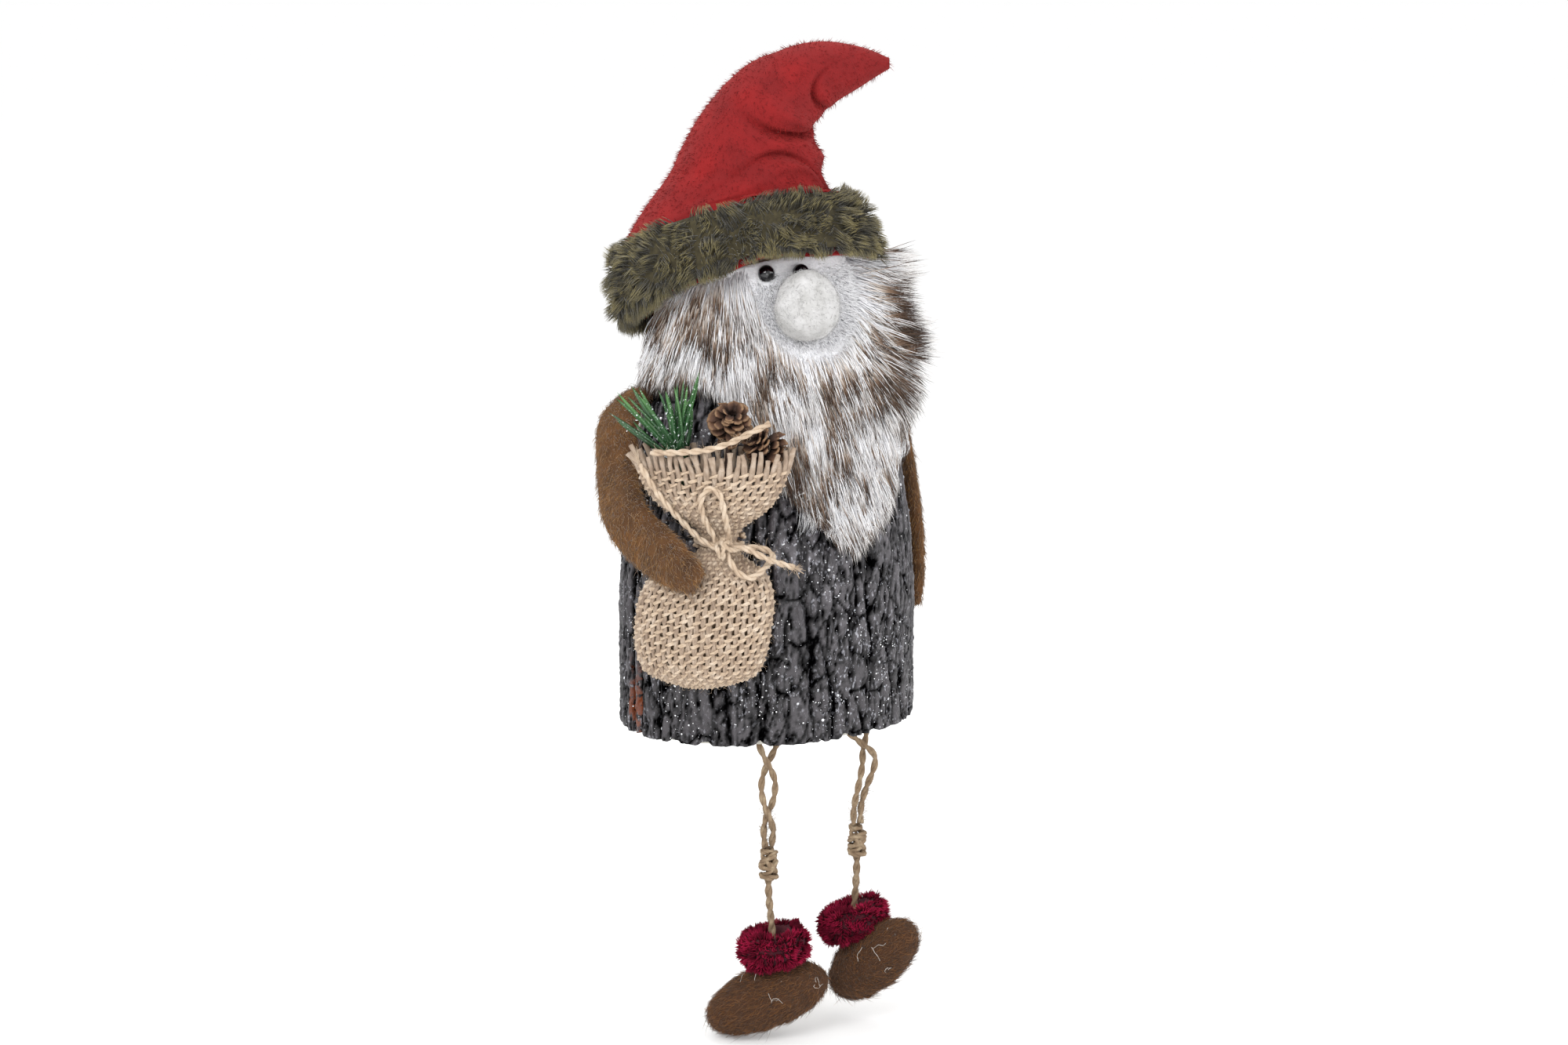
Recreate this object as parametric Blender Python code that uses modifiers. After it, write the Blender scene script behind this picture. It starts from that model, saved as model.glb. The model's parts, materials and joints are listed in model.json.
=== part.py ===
"""A shelf-sitting santa figurine: a bark-wrapped foam log for a body, a leaning plush hat, a fur beard,
a burlap sack held in one felt arm, and two legs of doubled twine that dangle, with felt shoes on them.

Metres, +Z up. The figure faces -Y, and the origin is the middle of the log's flat underside.
A turn is an angle round the log, in degrees: 0 at the front, 90 on the figure's own left (+X).
Left and right in the names are the figure's own.
"""

import math

import bmesh
import bpy
from mathutils import Matrix, Vector

MM = 0.001

# Clearances
SEAT_GAP = 0.3 * MM
GLUE_GAP = 0.5 * MM
DENT_GAP = 0.4 * MM

# The log: straight at its foot, then drawn in towards the top
LOG_WIDTH = 98.0 * MM
LOG_DEPTH = 79.0 * MM
LOG_HEIGHT = 155.0 * MM
LOG_SHOULDER = 37.0 * MM
LOG_TAPER = 0.50
LOG_TAPER_CURVE = 1.7
BARK_THICKNESS = 3.8 * MM
BARK_FURROW_DEPTH = 1.5 * MM
BARK_FURROWS = 34
BARK_FURROW_HALF_WIDTH = 0.15
BARK_ROWS = 9
BARK_FOOT = 0.2 * MM
BARK_TOP = LOG_HEIGHT - 29 * MM
BARK_SEAM_TURN = -88.0
BARK_SEAM_GAP = 2.6 * MM

# The hat: its fur brim lies in a tilted plane, and the cone above leans over to the figure's left
BRIM_SIDE = -7.0 * MM
BRIM_BACK = 4.0 * MM
BRIM_LEVEL = LOG_HEIGHT - 6 * MM
BRIM_TILT_BACK = 20.2
BRIM_TILT_SIDE = -4.0
BRIM_HEIGHT = 21.0 * MM
BRIM_PAD = 3.6 * MM
HAT_WIDTH = 79.0 * MM
HAT_DEPTH = 67.0 * MM
HAT_WALL = 1.2 * MM
HAT_HEM = 0.9 * MM
HAT_LEAN_TURN = 62.0
HAT_RISE = 59.0 * MM
HAT_REACH = 46.0 * MM
HAT_TIP = 1.6 * MM
HAT_CREASE = 0.14
HAT_CREASES = ((0.615, 0.035, 1.0), (0.43, 0.025, 0.50))
HAT_BAND = ((0.0, 0.98), (0.5, 0.89))
HAT_CONE = ((0.36, 0.03, 2, 0.645, 0.73), (0.56, 0.065, 8, 0.515, 0.61), (0.75, 0.175, 26, 0.41, 0.51),
            (0.89, 0.36, 48, 0.315, 0.42), (0.955, 0.56, 68, 0.25, 0.33), (0.99, 0.79, 80, 0.16, 0.20))
STUFFING_FOOT_SHARE = 1 / 3
STUFFING_TOP_SHARE = 14 / 15

# The face and the beard
FACE_TURN = 1.0
FACE_HALF_TURN = 48.0
FACE_FLOOR = LOG_HEIGHT - 37 * MM
FACE_PILE = 3.4 * MM
FACE_CORNER_POWER = 2.6
NOSE_TURN = -6.5
NOSE_LEVEL = LOG_HEIGHT - 18.5 * MM
NOSE_WIDTH = 21.0 * MM
NOSE_DEPTH = 18.0 * MM
NOSE_HEIGHT = 21.8 * MM
NOSE_PEAR = 0.10
NOSE_BURIED = 0.36
EYE_DIAMETER = 5.3 * MM
EYE_LEVEL = LOG_HEIGHT - 9.3 * MM
RIGHT_EYE_TURN = -24.5
LEFT_EYE_TURN = -3.5
BEARD_PILE = 8.0 * MM
BEARD_RIGHT_TURN = -108.0
BEARD_LEFT_TURN = 64.0
BEARD_TIP_TURN = 9.0
BEARD_TIP_LEVEL = 60.0 * MM
BEARD_RIGHT_LEVEL = LOG_HEIGHT - 44 * MM
BEARD_LEFT_LEVEL = LOG_HEIGHT - 69 * MM
BEARD_RIGHT_SPREAD = 62.0
BEARD_LEFT_SPREAD = 38.0

# The arms, felt strips with rounded edges
ARM_WIDTH = 14.5 * MM
ARM_THICKNESS = 5.6 * MM
RIGHT_SHOULDER_TURN = -102.0
RIGHT_SHOULDER_LEVEL = 106.0 * MM
RIGHT_SHOULDER_SINK = 1.3 * MM
LEFT_ARM_TURN = 86.0
LEFT_SHOULDER_LEVEL = 110.0 * MM
LEFT_ARM_LENGTH = 78.0 * MM
LEFT_ARM_WIDTHS = ((0.0, 0.80), (0.25, 0.95), (0.5, 1.0), (0.78, 1.0), (1.0, 0.5))
# The right arm's upper half: the way from its shoulder in mm, where its flat side looks, its width's share
RIGHT_SLEEVE = (((0, 0, 0), (-0.75, 0.30, 0.60), 0.85), ((-5, -0.5, -2), (-0.60, 0.10, 0.80), 1.0),
                ((-11.6, -5.0, -8.5), (-0.84, -0.35, 0.30), 1.0),
                ((-13.9, -11.2, -20.5), (-0.82, -0.58, 0), 1.05))
# Its lower half: the rise over the sack's neck, the way aside and the way out, all in mm, then the same two
RIGHT_CUFF = ((8.5, -30.0, -2.5, (-0.80, -0.60, 0), 1.05), (0.5, -22.5, 4.5, (-0.80, -0.66, 0), 1.05),
              (-4.5, -12.5, 10.8, (-0.80, -0.62, 0), 1.0), (-9.5, -1.5, 5.6, (-0.66, -0.75, 0), 0.55))

# The sack, which stands off the log's front right and opens like a cup above its tied neck
SACK_TURN = -44.5
SACK_FOOT = 22.0 * MM
SACK_BAG_HEIGHT = 45.0 * MM
SACK_FLARE_HEIGHT = 29.5 * MM
SACK_NECK_HEIGHT = 7.0 * MM
SACK_BAG_WIDTH = 42.0 * MM
SACK_BAG_DEPTH = 22.0 * MM
SACK_NECK_WIDTH = 13.0 * MM
SACK_NECK_DEPTH = 11.0 * MM
SACK_MOUTH_WIDTH = 51.0 * MM
SACK_MOUTH_DEPTH = 20.0 * MM
SACK_STANDOFF = 0.1 * MM
SACK_SHIFT = -1.2 * MM
SACK_MOUTH_LEAN = 5.0 * MM
SACK_NECK_ASIDE = 5.0 * MM
SACK_MOUTH_ASIDE = 2.5 * MM
SACK_CLOTH = 1.0 * MM
SACK_BAG_ROWS = ((0.00, 0.16, 0.30), (0.09, 0.78, 0.70), (0.25, 0.96, 0.93), (0.44, 1.00, 1.00),
                 (0.62, 0.98, 0.97), (0.79, 0.80, 0.84))
SACK_FLARE_ROWS = ((0.36, 0.52), (0.56, 0.76), (0.78, 0.90), (1.0, 1.0))

# What stands in the sack
STEM_RADIUS = 0.8 * MM
STEM_SPACING = 2.6 * MM
UPPER_CONE_DIAMETER = 14.0 * MM
LOWER_CONE_DIAMETER = 11.6 * MM
CONE_SLENDERNESS = 1.1
NEEDLE_LENGTH = 24.0 * MM
NEEDLE_WIDTH = 1.7 * MM
NEEDLE_STEP = 0.55 * MM
SPRIG_STALK_RADIUS = 1.3 * MM
# Where the picks stand: the rise over the mouth's middle, the way aside and the way out; then a cone's lean
UPPER_CONE_PLACE = (10.5 * MM, 6.0 * MM, 1.0 * MM, -12)
LOWER_CONE_PLACE = (1.0 * MM, 16.0 * MM, 0.5 * MM, 40)
SPRIG_PLACE = (-6.4 * MM, -11.5 * MM, -0.5 * MM)
# Each needle's lean to the figure's right, its lean forwards and its share of the length
NEEDLES = ((59, 8, 0.95), (55, -6, 1.05), (49, 9, 1.10), (43, -3, 1.10), (36, 8, 1.05), (29, -5, 0.95),
           (19, 9, 0.80), (10, -2, 0.75), (1, 10, 0.80), (-7, 0, 0.85), (-13, -9, 0.80))
CONE_SCALE_DEPTH = 0.22

# Twine, and what is made of it
TWINE_RADIUS = 1.1 * MM
TWINE_LAY = 14.0 * MM
PLY_DEPTH = 0.28
WRAP_TURNS = 1.5
WRAP_STEPS = 30
BOW_KNOT_RADIUS = 2.9 * MM
BOW_KNOT_WIDTH = 1.25
# The bow's strands: the rise over the neck's middle, the way aside and the way out in mm; none is the knot's
BOW_KNOT_PLACE = (-2.0, 4.0)
BOW_STRANDS = {
    "bow_upper_loop": ((-2, 2.5, None), (4, 0.4, 3.6), (10, -1.4, 2.4), (15, -1.6, 2.2), (18.5, 1.0, 2.2),
                       (17, 4.4, 2.0), (11, 5.4, 2.2), (4, 5.0, 3.6), (-2, 4.6, None)),
    "bow_side_loop": ((-1.4, 5.0, None), (-3.0, 10.0, 4.4), (-4.6, 15.4, 3.8), (-7.2, 19.8, 3.4),
                      (-10.0, 15.4, 3.0), (-8.4, 10.0, 2.8), (-3.4, 5.0, None)),
    "bow_long_tail": ((-1.4, 2.5, None), (1.5, -2.6, 4.4), (7, -8.4, 2.4), (15.5, -15.2, 2.0),
                      (24.5, -21.5, 2.0)),
    "bow_short_tail": ((-2.6, 5.5, None), (-4.4, 10.5, 7.1), (-6.6, 15.5, 7.6), (-8.6, 21.0, 7.2),
                       (-10.4, 26.5, 6.6)),
}
HIP_SPREAD = 6.8 * MM
HIP_SOCKET_DEPTH = 5.0 * MM
LEG_SPACING = 32.0 * MM
LEG_ASIDE = 2.0 * MM
LEG_FRONT_MARGIN = 12.5 * MM
RIGHT_THIGH_LENGTH = 40.0 * MM
LEFT_THIGH_LENGTH = 37.0 * MM
RIGHT_ANKLE_ASIDE = 2.0 * MM
LEFT_ANKLE_ASIDE = -1.2 * MM
RIGHT_SHIN_LENGTH = 32.0 * MM
LEFT_SHIN_LENGTH = 30.5 * MM
KNOT_TURNS = 3
KNOT_COIL_RADIUS = 2.3 * MM
KNOT_GAP = 0.55 * MM
KNOT_STEPS = 10
KNOT_CROWN = 0.15 * MM
# Each thigh's two strands from the hip to the knot, in mm: the way to the left, then backwards
RIGHT_THIGH_STRANDS = (
    ((-3.4, 0.0), (-2.04, -1.0), (0.1, -1.31), (1.9, -0.75), (2.3, 0.0), (1.6, 0.75), (0.0, 1.35),
     (-1.3, 0.75), (-1.25, 0.0)),
    ((3.4, 0.0), (2.04, 1.0), (-0.1, 1.31), (-1.9, 0.75), (-2.3, 0.0), (-1.6, -0.75), (0.0, -1.35),
     (1.3, -0.75), (1.25, 0.0)),
)
LEFT_THIGH_STRANDS = (
    ((-3.4, 0.0), (0.4, -1.3), (4.9, -1.3), (6.2, -0.6), (5.2, -0.3), (3.6, 0.0), (2.2, 0.0), (1.4, 0.0),
     (1.25, 0.0)),
    ((3.4, 0.0), (3.6, 1.3), (2.8, 1.4), (2.4, 0.8), (1.5, 0.3), (0.4, 0.0), (-0.5, 0.0), (-1.2, 0.0),
     (-1.25, 0.0)),
)

# The shoes: felted eggs, with a chenille cuff where the twine goes in
SHOE_LENGTH = 42.0 * MM
SHOE_WIDTH = 21.0 * MM
SHOE_HEIGHT = 21.5 * MM
RIGHT_HEEL_REACH = 14.5 * MM
LEFT_HEEL_REACH = 21.5 * MM
SHOE_WAIST = 0.08
SHOE_SOLE_DEPTH = 0.86
SHOE_TOE_WIDTH = 1.04
SHOE_HEEL_WIDTH = 0.92
SHOE_TOE_HEIGHT = 0.94
CUFF_DIAMETER = 23.0 * MM
CUFF_HEIGHT = 12.0 * MM
CUFF_RUFFLES = 7
CUFF_RUFFLE_DEPTH = 0.06
CUFF_LEAN = 0.6
CUFF_LIFT = 0.42
RIGHT_TOE_TURN = -118.0
RIGHT_TOE_RISE = -22.0
RIGHT_SHOE_ROLL = 0.0
LEFT_TOE_TURN = 20.0
LEFT_TOE_RISE = 41.0
LEFT_SHOE_ROLL = -16.0

UP = Vector((0, 0, 1))


# Scene and materials

def clear_scene():
    for obj in list(bpy.data.objects):
        bpy.data.objects.remove(obj, do_unlink=True)


def new_collection(name):
    collection = bpy.data.collections.new(name)
    bpy.context.scene.collection.children.link(collection)
    return collection


def material(name, colour, roughness, metallic=0.0):
    made = bpy.data.materials.new(name)
    made.use_nodes = True
    shader = made.node_tree.nodes["Principled BSDF"]
    shader.inputs["Base Color"].default_value = (*colour, 1.0)
    shader.inputs["Roughness"].default_value = roughness
    shader.inputs["Metallic"].default_value = metallic
    return made


clear_scene()
FIGURINE = new_collection("santa_figurine")
CUTTERS = new_collection("cutters")

FOAM = material("foam", (0.80, 0.79, 0.74), 0.9)
BARK = material("painted_bark", (0.045, 0.042, 0.045), 0.6)
RED_PLUSH = material("red_plush", (0.55, 0.02, 0.02), 0.9)
OLIVE_FUR = material("olive_fur", (0.12, 0.11, 0.04), 0.95)
WHITE_PLUSH = material("white_plush", (0.85, 0.85, 0.86), 0.95)
BEARD_FUR = material("beard_fur", (0.55, 0.48, 0.42), 0.95)
WOOL = material("felted_wool", (0.82, 0.80, 0.74), 0.95)
BLACK_BEAD = material("black_bead", (0.01, 0.01, 0.015), 0.08)
BROWN_FELT = material("brown_felt", (0.17, 0.085, 0.025), 0.95)
BURLAP = material("burlap", (0.48, 0.33, 0.19), 0.95)
JUTE = material("jute_twine", (0.43, 0.30, 0.17), 0.9)
WADDING = material("wadding", (0.86, 0.86, 0.84), 0.95)
GREEN_PLASTIC = material("green_needles", (0.04, 0.16, 0.05), 0.5)
CONE_WOOD = material("cone_wood", (0.20, 0.09, 0.04), 0.8)
BURGUNDY = material("burgundy_chenille", (0.22, 0.01, 0.03), 0.95)


# Number helpers

def between(low, high, share):
    return low + (high - low) * share


def smoothstep(value):
    value = max(0.0, min(1.0, value))
    return value * value * (3 - 2 * value)


def signed_power(value, power):
    return math.copysign(abs(value) ** power, value)


def curve_value(keys, share):
    """A Catmull-Rom curve through evenly spaced keys, which are numbers or vectors."""
    place = max(0.0, min(1.0, share)) * (len(keys) - 1)
    i = min(int(place), len(keys) - 2)
    s = place - i
    p0, p1, p2 = keys[max(i - 1, 0)], keys[i], keys[i + 1]
    p3 = keys[min(i + 2, len(keys) - 1)]
    return 0.5 * (2 * p1 + (p2 - p0) * s + (2 * p0 - 5 * p1 + 4 * p2 - p3) * s ** 2
                  + (3 * p1 - p0 - 3 * p2 + p3) * s ** 3)


# Object helpers

def finish(name, bm, surface, smooth=True):
    """Makes a piece's object from its bmesh."""
    mesh = bpy.data.meshes.new(name)
    bm.to_mesh(mesh)
    bm.free()
    obj = bpy.data.objects.new(name, mesh)
    FIGURINE.objects.link(obj)
    mesh.materials.append(surface)
    if smooth:
        mesh.shade_smooth()
    return obj


def as_cutter(obj):
    for collection in list(obj.users_collection):
        collection.objects.unlink(obj)
    CUTTERS.objects.link(obj)
    obj.hide_render = True
    obj.display_type = "WIRE"
    return obj


def boolean(obj, other, operation):
    modifier = obj.modifiers.new(other.name, "BOOLEAN")
    modifier.object = as_cutter(other)
    modifier.operation = operation
    modifier.solver = "EXACT"


def give_wall(obj, thickness, offset, group=None):
    """Thickens an open sheet; with a group, each point's weight is its share of the thickness."""
    modifier = obj.modifiers.new("wall", "SOLIDIFY")
    modifier.thickness = thickness
    modifier.offset = offset
    if group:
        modifier.vertex_group = group


def bent_cylinder(levels, sides, place, foot=True, head=True):
    """A cylinder with loop cuts, whose points place(share, angle) moves; either end may stay open."""
    bm = bmesh.new()
    bmesh.ops.create_cone(bm, cap_ends=True, segments=sides, radius1=1, radius2=1, depth=1)
    uprights = [e for e in bm.edges if abs(e.verts[0].co.z - e.verts[1].co.z) > 0.5]
    bmesh.ops.subdivide_edges(bm, edges=uprights, cuts=levels - 2, use_grid_fill=True)
    lids = [f for f in bm.faces if abs(f.normal.z) > 0.5]
    unwanted = [f for f in lids if (f.normal.z < 0 and not foot) or (f.normal.z > 0 and not head)]
    for v in bm.verts:
        v.co = place(v.co.z + 0.5, math.atan2(v.co.y, v.co.x))
    bmesh.ops.recalc_face_normals(bm, faces=bm.faces)
    if bm.calc_volume(signed=True) < 0:
        bmesh.ops.reverse_faces(bm, faces=bm.faces)
    bmesh.ops.delete(bm, geom=unwanted, context="FACES_ONLY")
    return bm


def ball(name, surface, across, rings, place):
    """A sphere whose unit points place(direction) moves."""
    bm = bmesh.new()
    bmesh.ops.create_uvsphere(bm, u_segments=across, v_segments=rings, radius=1)
    for v in bm.verts:
        v.co = place(v.co.copy())
    bmesh.ops.recalc_face_normals(bm, faces=bm.faces)
    return finish(name, bm, surface)


def ring(name, surface, around, across, place):
    """A torus whose points place(major, height, out) moves: height runs from -1 to 1, out from 0 to 1."""
    bpy.ops.mesh.primitive_torus_add(major_segments=around, minor_segments=across,
                                     major_radius=1.0, minor_radius=0.25)
    obj = bpy.context.object
    for v in obj.data.vertices:
        major = math.atan2(v.co.y, v.co.x)
        minor = math.atan2(v.co.z, math.hypot(v.co.x, v.co.y) - 1.0)
        height = signed_power(math.sin(minor), 0.7)
        out = 0.5 + 0.5 * signed_power(math.cos(minor), 0.7)
        v.co = place(major, height, out)
    bm = bmesh.new()
    bm.from_mesh(obj.data)
    bmesh.ops.recalc_face_normals(bm, faces=bm.faces)
    bpy.data.objects.remove(obj, do_unlink=True)
    return finish(name, bm, surface)


def tube(name, surface, points, shares=None, radius=TWINE_RADIUS, detail=1):
    """A round tube through the points, as a welded mesh. shares scale its radius at each point."""
    data = bpy.data.curves.new(name, "CURVE")
    data.dimensions = "3D"
    data.bevel_depth = radius
    data.bevel_resolution = detail
    data.use_fill_caps = True
    spline = data.splines.new("POLY")
    spline.points.add(len(points) - 1)
    for i, point in enumerate(points):
        spline.points[i].co = (*point, 1)
        spline.points[i].radius = shares[i] if shares else 1.0
    curve = bpy.data.objects.new(name, data)
    FIGURINE.objects.link(curve)
    bpy.context.view_layer.update()
    graph = bpy.context.evaluated_depsgraph_get()
    mesh = bpy.data.meshes.new_from_object(curve.evaluated_get(graph))
    bm = bmesh.new()
    bm.from_mesh(mesh)
    bmesh.ops.remove_doubles(bm, verts=bm.verts, dist=0.01 * MM)
    bmesh.ops.recalc_face_normals(bm, faces=bm.faces)
    bpy.data.objects.remove(curve, do_unlink=True)
    return finish(name, bm, surface)


def smooth_line(keys, count):
    return [curve_value(keys, i / (count - 1)) for i in range(count)]


def dome_ended(points, radius):
    """Adds a half ball at either end, centred on the end point, and gives each point's radius share."""
    dome = [(math.sin(a), math.cos(a)) for a in (math.radians(d) for d in (84, 60, 30))]
    before = (points[0] - points[1]).normalized() * radius
    beyond = (points[-1] - points[-2]).normalized() * radius
    line = [points[0] + before * reach for reach, _ in dome] + list(points)
    line += [points[-1] + beyond * reach for reach, _ in reversed(dome)]
    shares = [share for _, share in dome] + [1.0] * len(points) + [share for _, share in reversed(dome)]
    return line, shares


# The log's outer face, on which most pieces are seated

def log_share(z):
    """How wide the log is at this height, as a share of its widest."""
    rise = max(0.0, z - LOG_SHOULDER) / (LOG_HEIGHT - LOG_SHOULDER)
    return 1 - LOG_TAPER * rise ** LOG_TAPER_CURVE


def log_normal(turn):
    angle = math.radians(turn)
    return Vector((math.sin(angle) / LOG_WIDTH, -math.cos(angle) / LOG_DEPTH, 0)).normalized()


def on_log(turn, z, out=0.0):
    """The point of the bark's outer face at this turn and height, moved out from it."""
    angle = math.radians(turn)
    share = log_share(z)
    spot = Vector((LOG_WIDTH / 2 * share * math.sin(angle), -LOG_DEPTH / 2 * share * math.cos(angle), z))
    return spot + log_normal(turn) * out


def log_sheet(name, surface, columns, rows, turns, levels, out, fullness, smooth=True):
    """An open sheet round the log, whose pile group holds fullness(across, upward) for its wall."""
    bm = bmesh.new()
    bmesh.ops.create_grid(bm, x_segments=columns, y_segments=rows, size=0.5)
    spots = [(v.co.x + 0.5, v.co.y + 0.5) for v in bm.verts]
    for v, (across, upward) in zip(bm.verts, spots):
        turn = between(*turns, across)
        low, high = levels(turn)
        v.co = on_log(turn, between(low, high, upward), out)
    obj = finish(name, bm, surface, smooth)
    group = obj.vertex_groups.new(name="pile")
    for index, (across, upward) in enumerate(spots):
        group.add([index], fullness(across, upward), "REPLACE")
    return obj


# The log and its bark

def make_log():
    def core_point(share, angle):
        return on_log(math.degrees(angle) + 90, LOG_HEIGHT * share, -BARK_THICKNESS - SEAT_GAP)

    core = finish("log_core", bent_cylinder(8, 44, core_point), FOAM)
    for leg in LEGS:
        socket = hip_arch(leg, below=4 * TWINE_RADIUS)
        boolean(core, tube(f"{leg['name']}_hip_socket", FOAM, socket, radius=TWINE_RADIUS + SEAT_GAP),
                "DIFFERENCE")


def furrow_line(k, upward):
    """Where furrow k runs at this height, counted in furrows round the bark from its seam."""
    sway = 0.30 * math.sin(7 * upward + 0.3 * k) + 0.16 * math.sin(17 * upward + 2.3 * k)
    aside = 0.15 * math.sin(2.9 * k)
    return k + 0.5 + (sway + aside) * min(1.0, k / 2, (BARK_FURROWS - 1 - k) / 2)


def furrow_depth(k, upward):
    return BARK_FURROW_DEPTH * (0.68 + 0.32 * math.sin(11 * upward + 1.7 * k))


def bark_column(i, upward):
    """How far round the bark its column i lies at this height, and how deep it is cut there."""
    if i in (0, 4 * BARK_FURROWS):
        return i / (4 * BARK_FURROWS), 0.0
    k, part = divmod(i - 1, 4)
    line = furrow_line(k, upward)
    if part == 3:
        return (line + furrow_line(k + 1, upward)) / 2 / BARK_FURROWS, 0.0
    depth = furrow_depth(k, upward) if part == 1 else 0.0
    return (line + (part - 1) * BARK_FURROW_HALF_WIDTH) / BARK_FURROWS, depth


def make_bark():
    """The bark: one wrap round the core that meets itself at an open seam, with long furrows outside."""
    half_gap = math.degrees(BARK_SEAM_GAP / LOG_DEPTH)
    turns = (BARK_SEAM_TURN + half_gap, BARK_SEAM_TURN + 360 - half_gap)
    columns = 4 * BARK_FURROWS
    bm = bmesh.new()
    bmesh.ops.create_grid(bm, x_segments=columns, y_segments=BARK_ROWS, size=0.5)
    depths = []
    for v in bm.verts:
        upward = v.co.y + 0.5
        across, depth = bark_column(round((v.co.x + 0.5) * columns), upward)
        depths.append(depth)
        v.co = on_log(between(*turns, across), between(BARK_FOOT, BARK_TOP, upward), -BARK_THICKNESS)
    bark = finish("bark_wrap", bm, BARK, smooth=False)
    group = bark.vertex_groups.new(name="pile")
    for index, depth in enumerate(depths):
        group.add([index], 1 - depth / BARK_THICKNESS, "REPLACE")
    give_wall(bark, BARK_THICKNESS, 1.0, "pile")


# The hat

BRIM_SLOPE_BACK = math.tan(math.radians(BRIM_TILT_BACK))
BRIM_SLOPE_SIDE = math.tan(math.radians(BRIM_TILT_SIDE))
BRIM_NORMAL = Vector((BRIM_SLOPE_SIDE, BRIM_SLOPE_BACK, 1)).normalized()
BRIM_MIDDLE = Vector((BRIM_SIDE, BRIM_BACK, BRIM_LEVEL))
LEAN = Vector((math.sin(math.radians(HAT_LEAN_TURN)), -math.cos(math.radians(HAT_LEAN_TURN)), 0))
ACROSS_LEAN = Vector((LEAN.y, -LEAN.x, 0))
BRIM_TOP_SHARE = len(HAT_BAND) / (len(HAT_BAND) + len(HAT_CONE) + 1)


def hem_level(turn):
    """The height of the brim's lower edge over the log at this turn."""
    spot = on_log(turn, BRIM_LEVEL, FACE_PILE)
    edge = BRIM_MIDDLE - BRIM_NORMAL * (BRIM_HEIGHT / 2 + HAT_HEM)
    return edge.z - ((spot - edge).x * BRIM_NORMAL.x + (spot - edge).y * BRIM_NORMAL.y) / BRIM_NORMAL.z


def hat_sections():
    """The hat from hem to tip: each section's middle, normal, half width along the lean and half depth."""
    def section(rise, reach, tip, width, depth):
        middle = BRIM_MIDDLE + UP * HAT_RISE * rise + LEAN * HAT_REACH * reach
        angle = math.radians(tip)
        normal = UP * math.cos(angle) + LEAN * math.sin(angle)
        return middle, normal, HAT_WIDTH / 2 * width, HAT_DEPTH / 2 * depth

    def band(height, swell):
        return (BRIM_MIDDLE + BRIM_NORMAL * BRIM_HEIGHT * height, BRIM_NORMAL,
                HAT_WIDTH / 2 * swell, HAT_DEPTH / 2 * swell)

    return ([band(-0.5 - HAT_HEM / BRIM_HEIGHT, 1.0)] + [band(*row) for row in HAT_BAND]
            + [section(*row) for row in HAT_CONE]
            + [(BRIM_MIDDLE + UP * HAT_RISE + LEAN * HAT_REACH, LEAN, HAT_TIP, HAT_TIP)])


HAT_SECTIONS = hat_sections()


def hat_point(share, angle, inward=0.0):
    """A point of the hat's outer face, or this far inside it."""
    middle, normal, half_width, half_depth = (
        curve_value([section[i] for section in HAT_SECTIONS], share) for i in range(4)
    )
    normal = normal.normalized()
    depth_way = (ACROSS_LEAN - normal * ACROSS_LEAN.dot(normal)).normalized()
    width_way = depth_way.cross(normal)
    under = max(0.0, -math.cos(angle)) ** 2
    fold = sum(depth * math.exp(-((share - place) / spread) ** 2) for place, spread, depth in HAT_CREASES)
    half_width *= 1 - HAT_CREASE * under * fold
    return (middle + width_way * math.cos(angle) * max(half_width - inward, HAT_TIP / 3)
            + depth_way * math.sin(angle) * max(half_depth - inward, HAT_TIP / 3))


def make_hat():
    shell = finish("hat_shell", bent_cylinder(16, 20, hat_point, foot=False), RED_PLUSH)
    give_wall(shell, HAT_WALL, -1.0)

    def stuffing_point(share, angle):
        spot = hat_point(between(STUFFING_FOOT_SHARE, STUFFING_TOP_SHARE, share), angle,
                         HAT_WALL + 2 * GLUE_GAP)
        return spot if share else Vector((spot.x, spot.y, LOG_HEIGHT + SEAT_GAP))

    finish("hat_stuffing", bent_cylinder(10, 20, stuffing_point), WADDING)

    def brim_point(major, height, out):
        hem_share = BRIM_TOP_SHARE * HAT_HEM / (BRIM_HEIGHT + HAT_HEM)
        on_hat = hat_point(between(hem_share, BRIM_TOP_SHARE, 0.5 + 0.5 * height), major)
        outward = on_hat - BRIM_MIDDLE
        outward = (outward - BRIM_NORMAL * outward.dot(BRIM_NORMAL)).normalized()
        return on_hat + outward * between(GLUE_GAP, GLUE_GAP + BRIM_PAD, out)

    ring("hat_brim", OLIVE_FUR, 32, 8, brim_point)


# The face and the beard

def face_floor(turn):
    """The lower edge of the short white pile: a U that rises to the hat on both sides."""
    aside = abs(turn - FACE_TURN) / FACE_HALF_TURN
    return FACE_FLOOR + (hem_level(turn) - FACE_FLOOR) * min(1.0, aside ** FACE_CORNER_POWER)


def beard_floor(turn):
    """The lower edge of the beard: a long point near the front, and a level run on either side."""
    side, spread = BEARD_RIGHT_LEVEL, BEARD_RIGHT_SPREAD
    if turn > BEARD_TIP_TURN:
        side, spread = BEARD_LEFT_LEVEL, BEARD_LEFT_SPREAD
    return between(BEARD_TIP_LEVEL, side, smoothstep(abs(turn - BEARD_TIP_TURN) / spread))


def soft_edge(across, upward, thin, run=0.2):
    """Full in the middle and thinner towards the edges."""
    rim = min(across, 1 - across, upward, 1 - upward)
    return between(thin, 1.0, smoothstep(rim / run))


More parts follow.
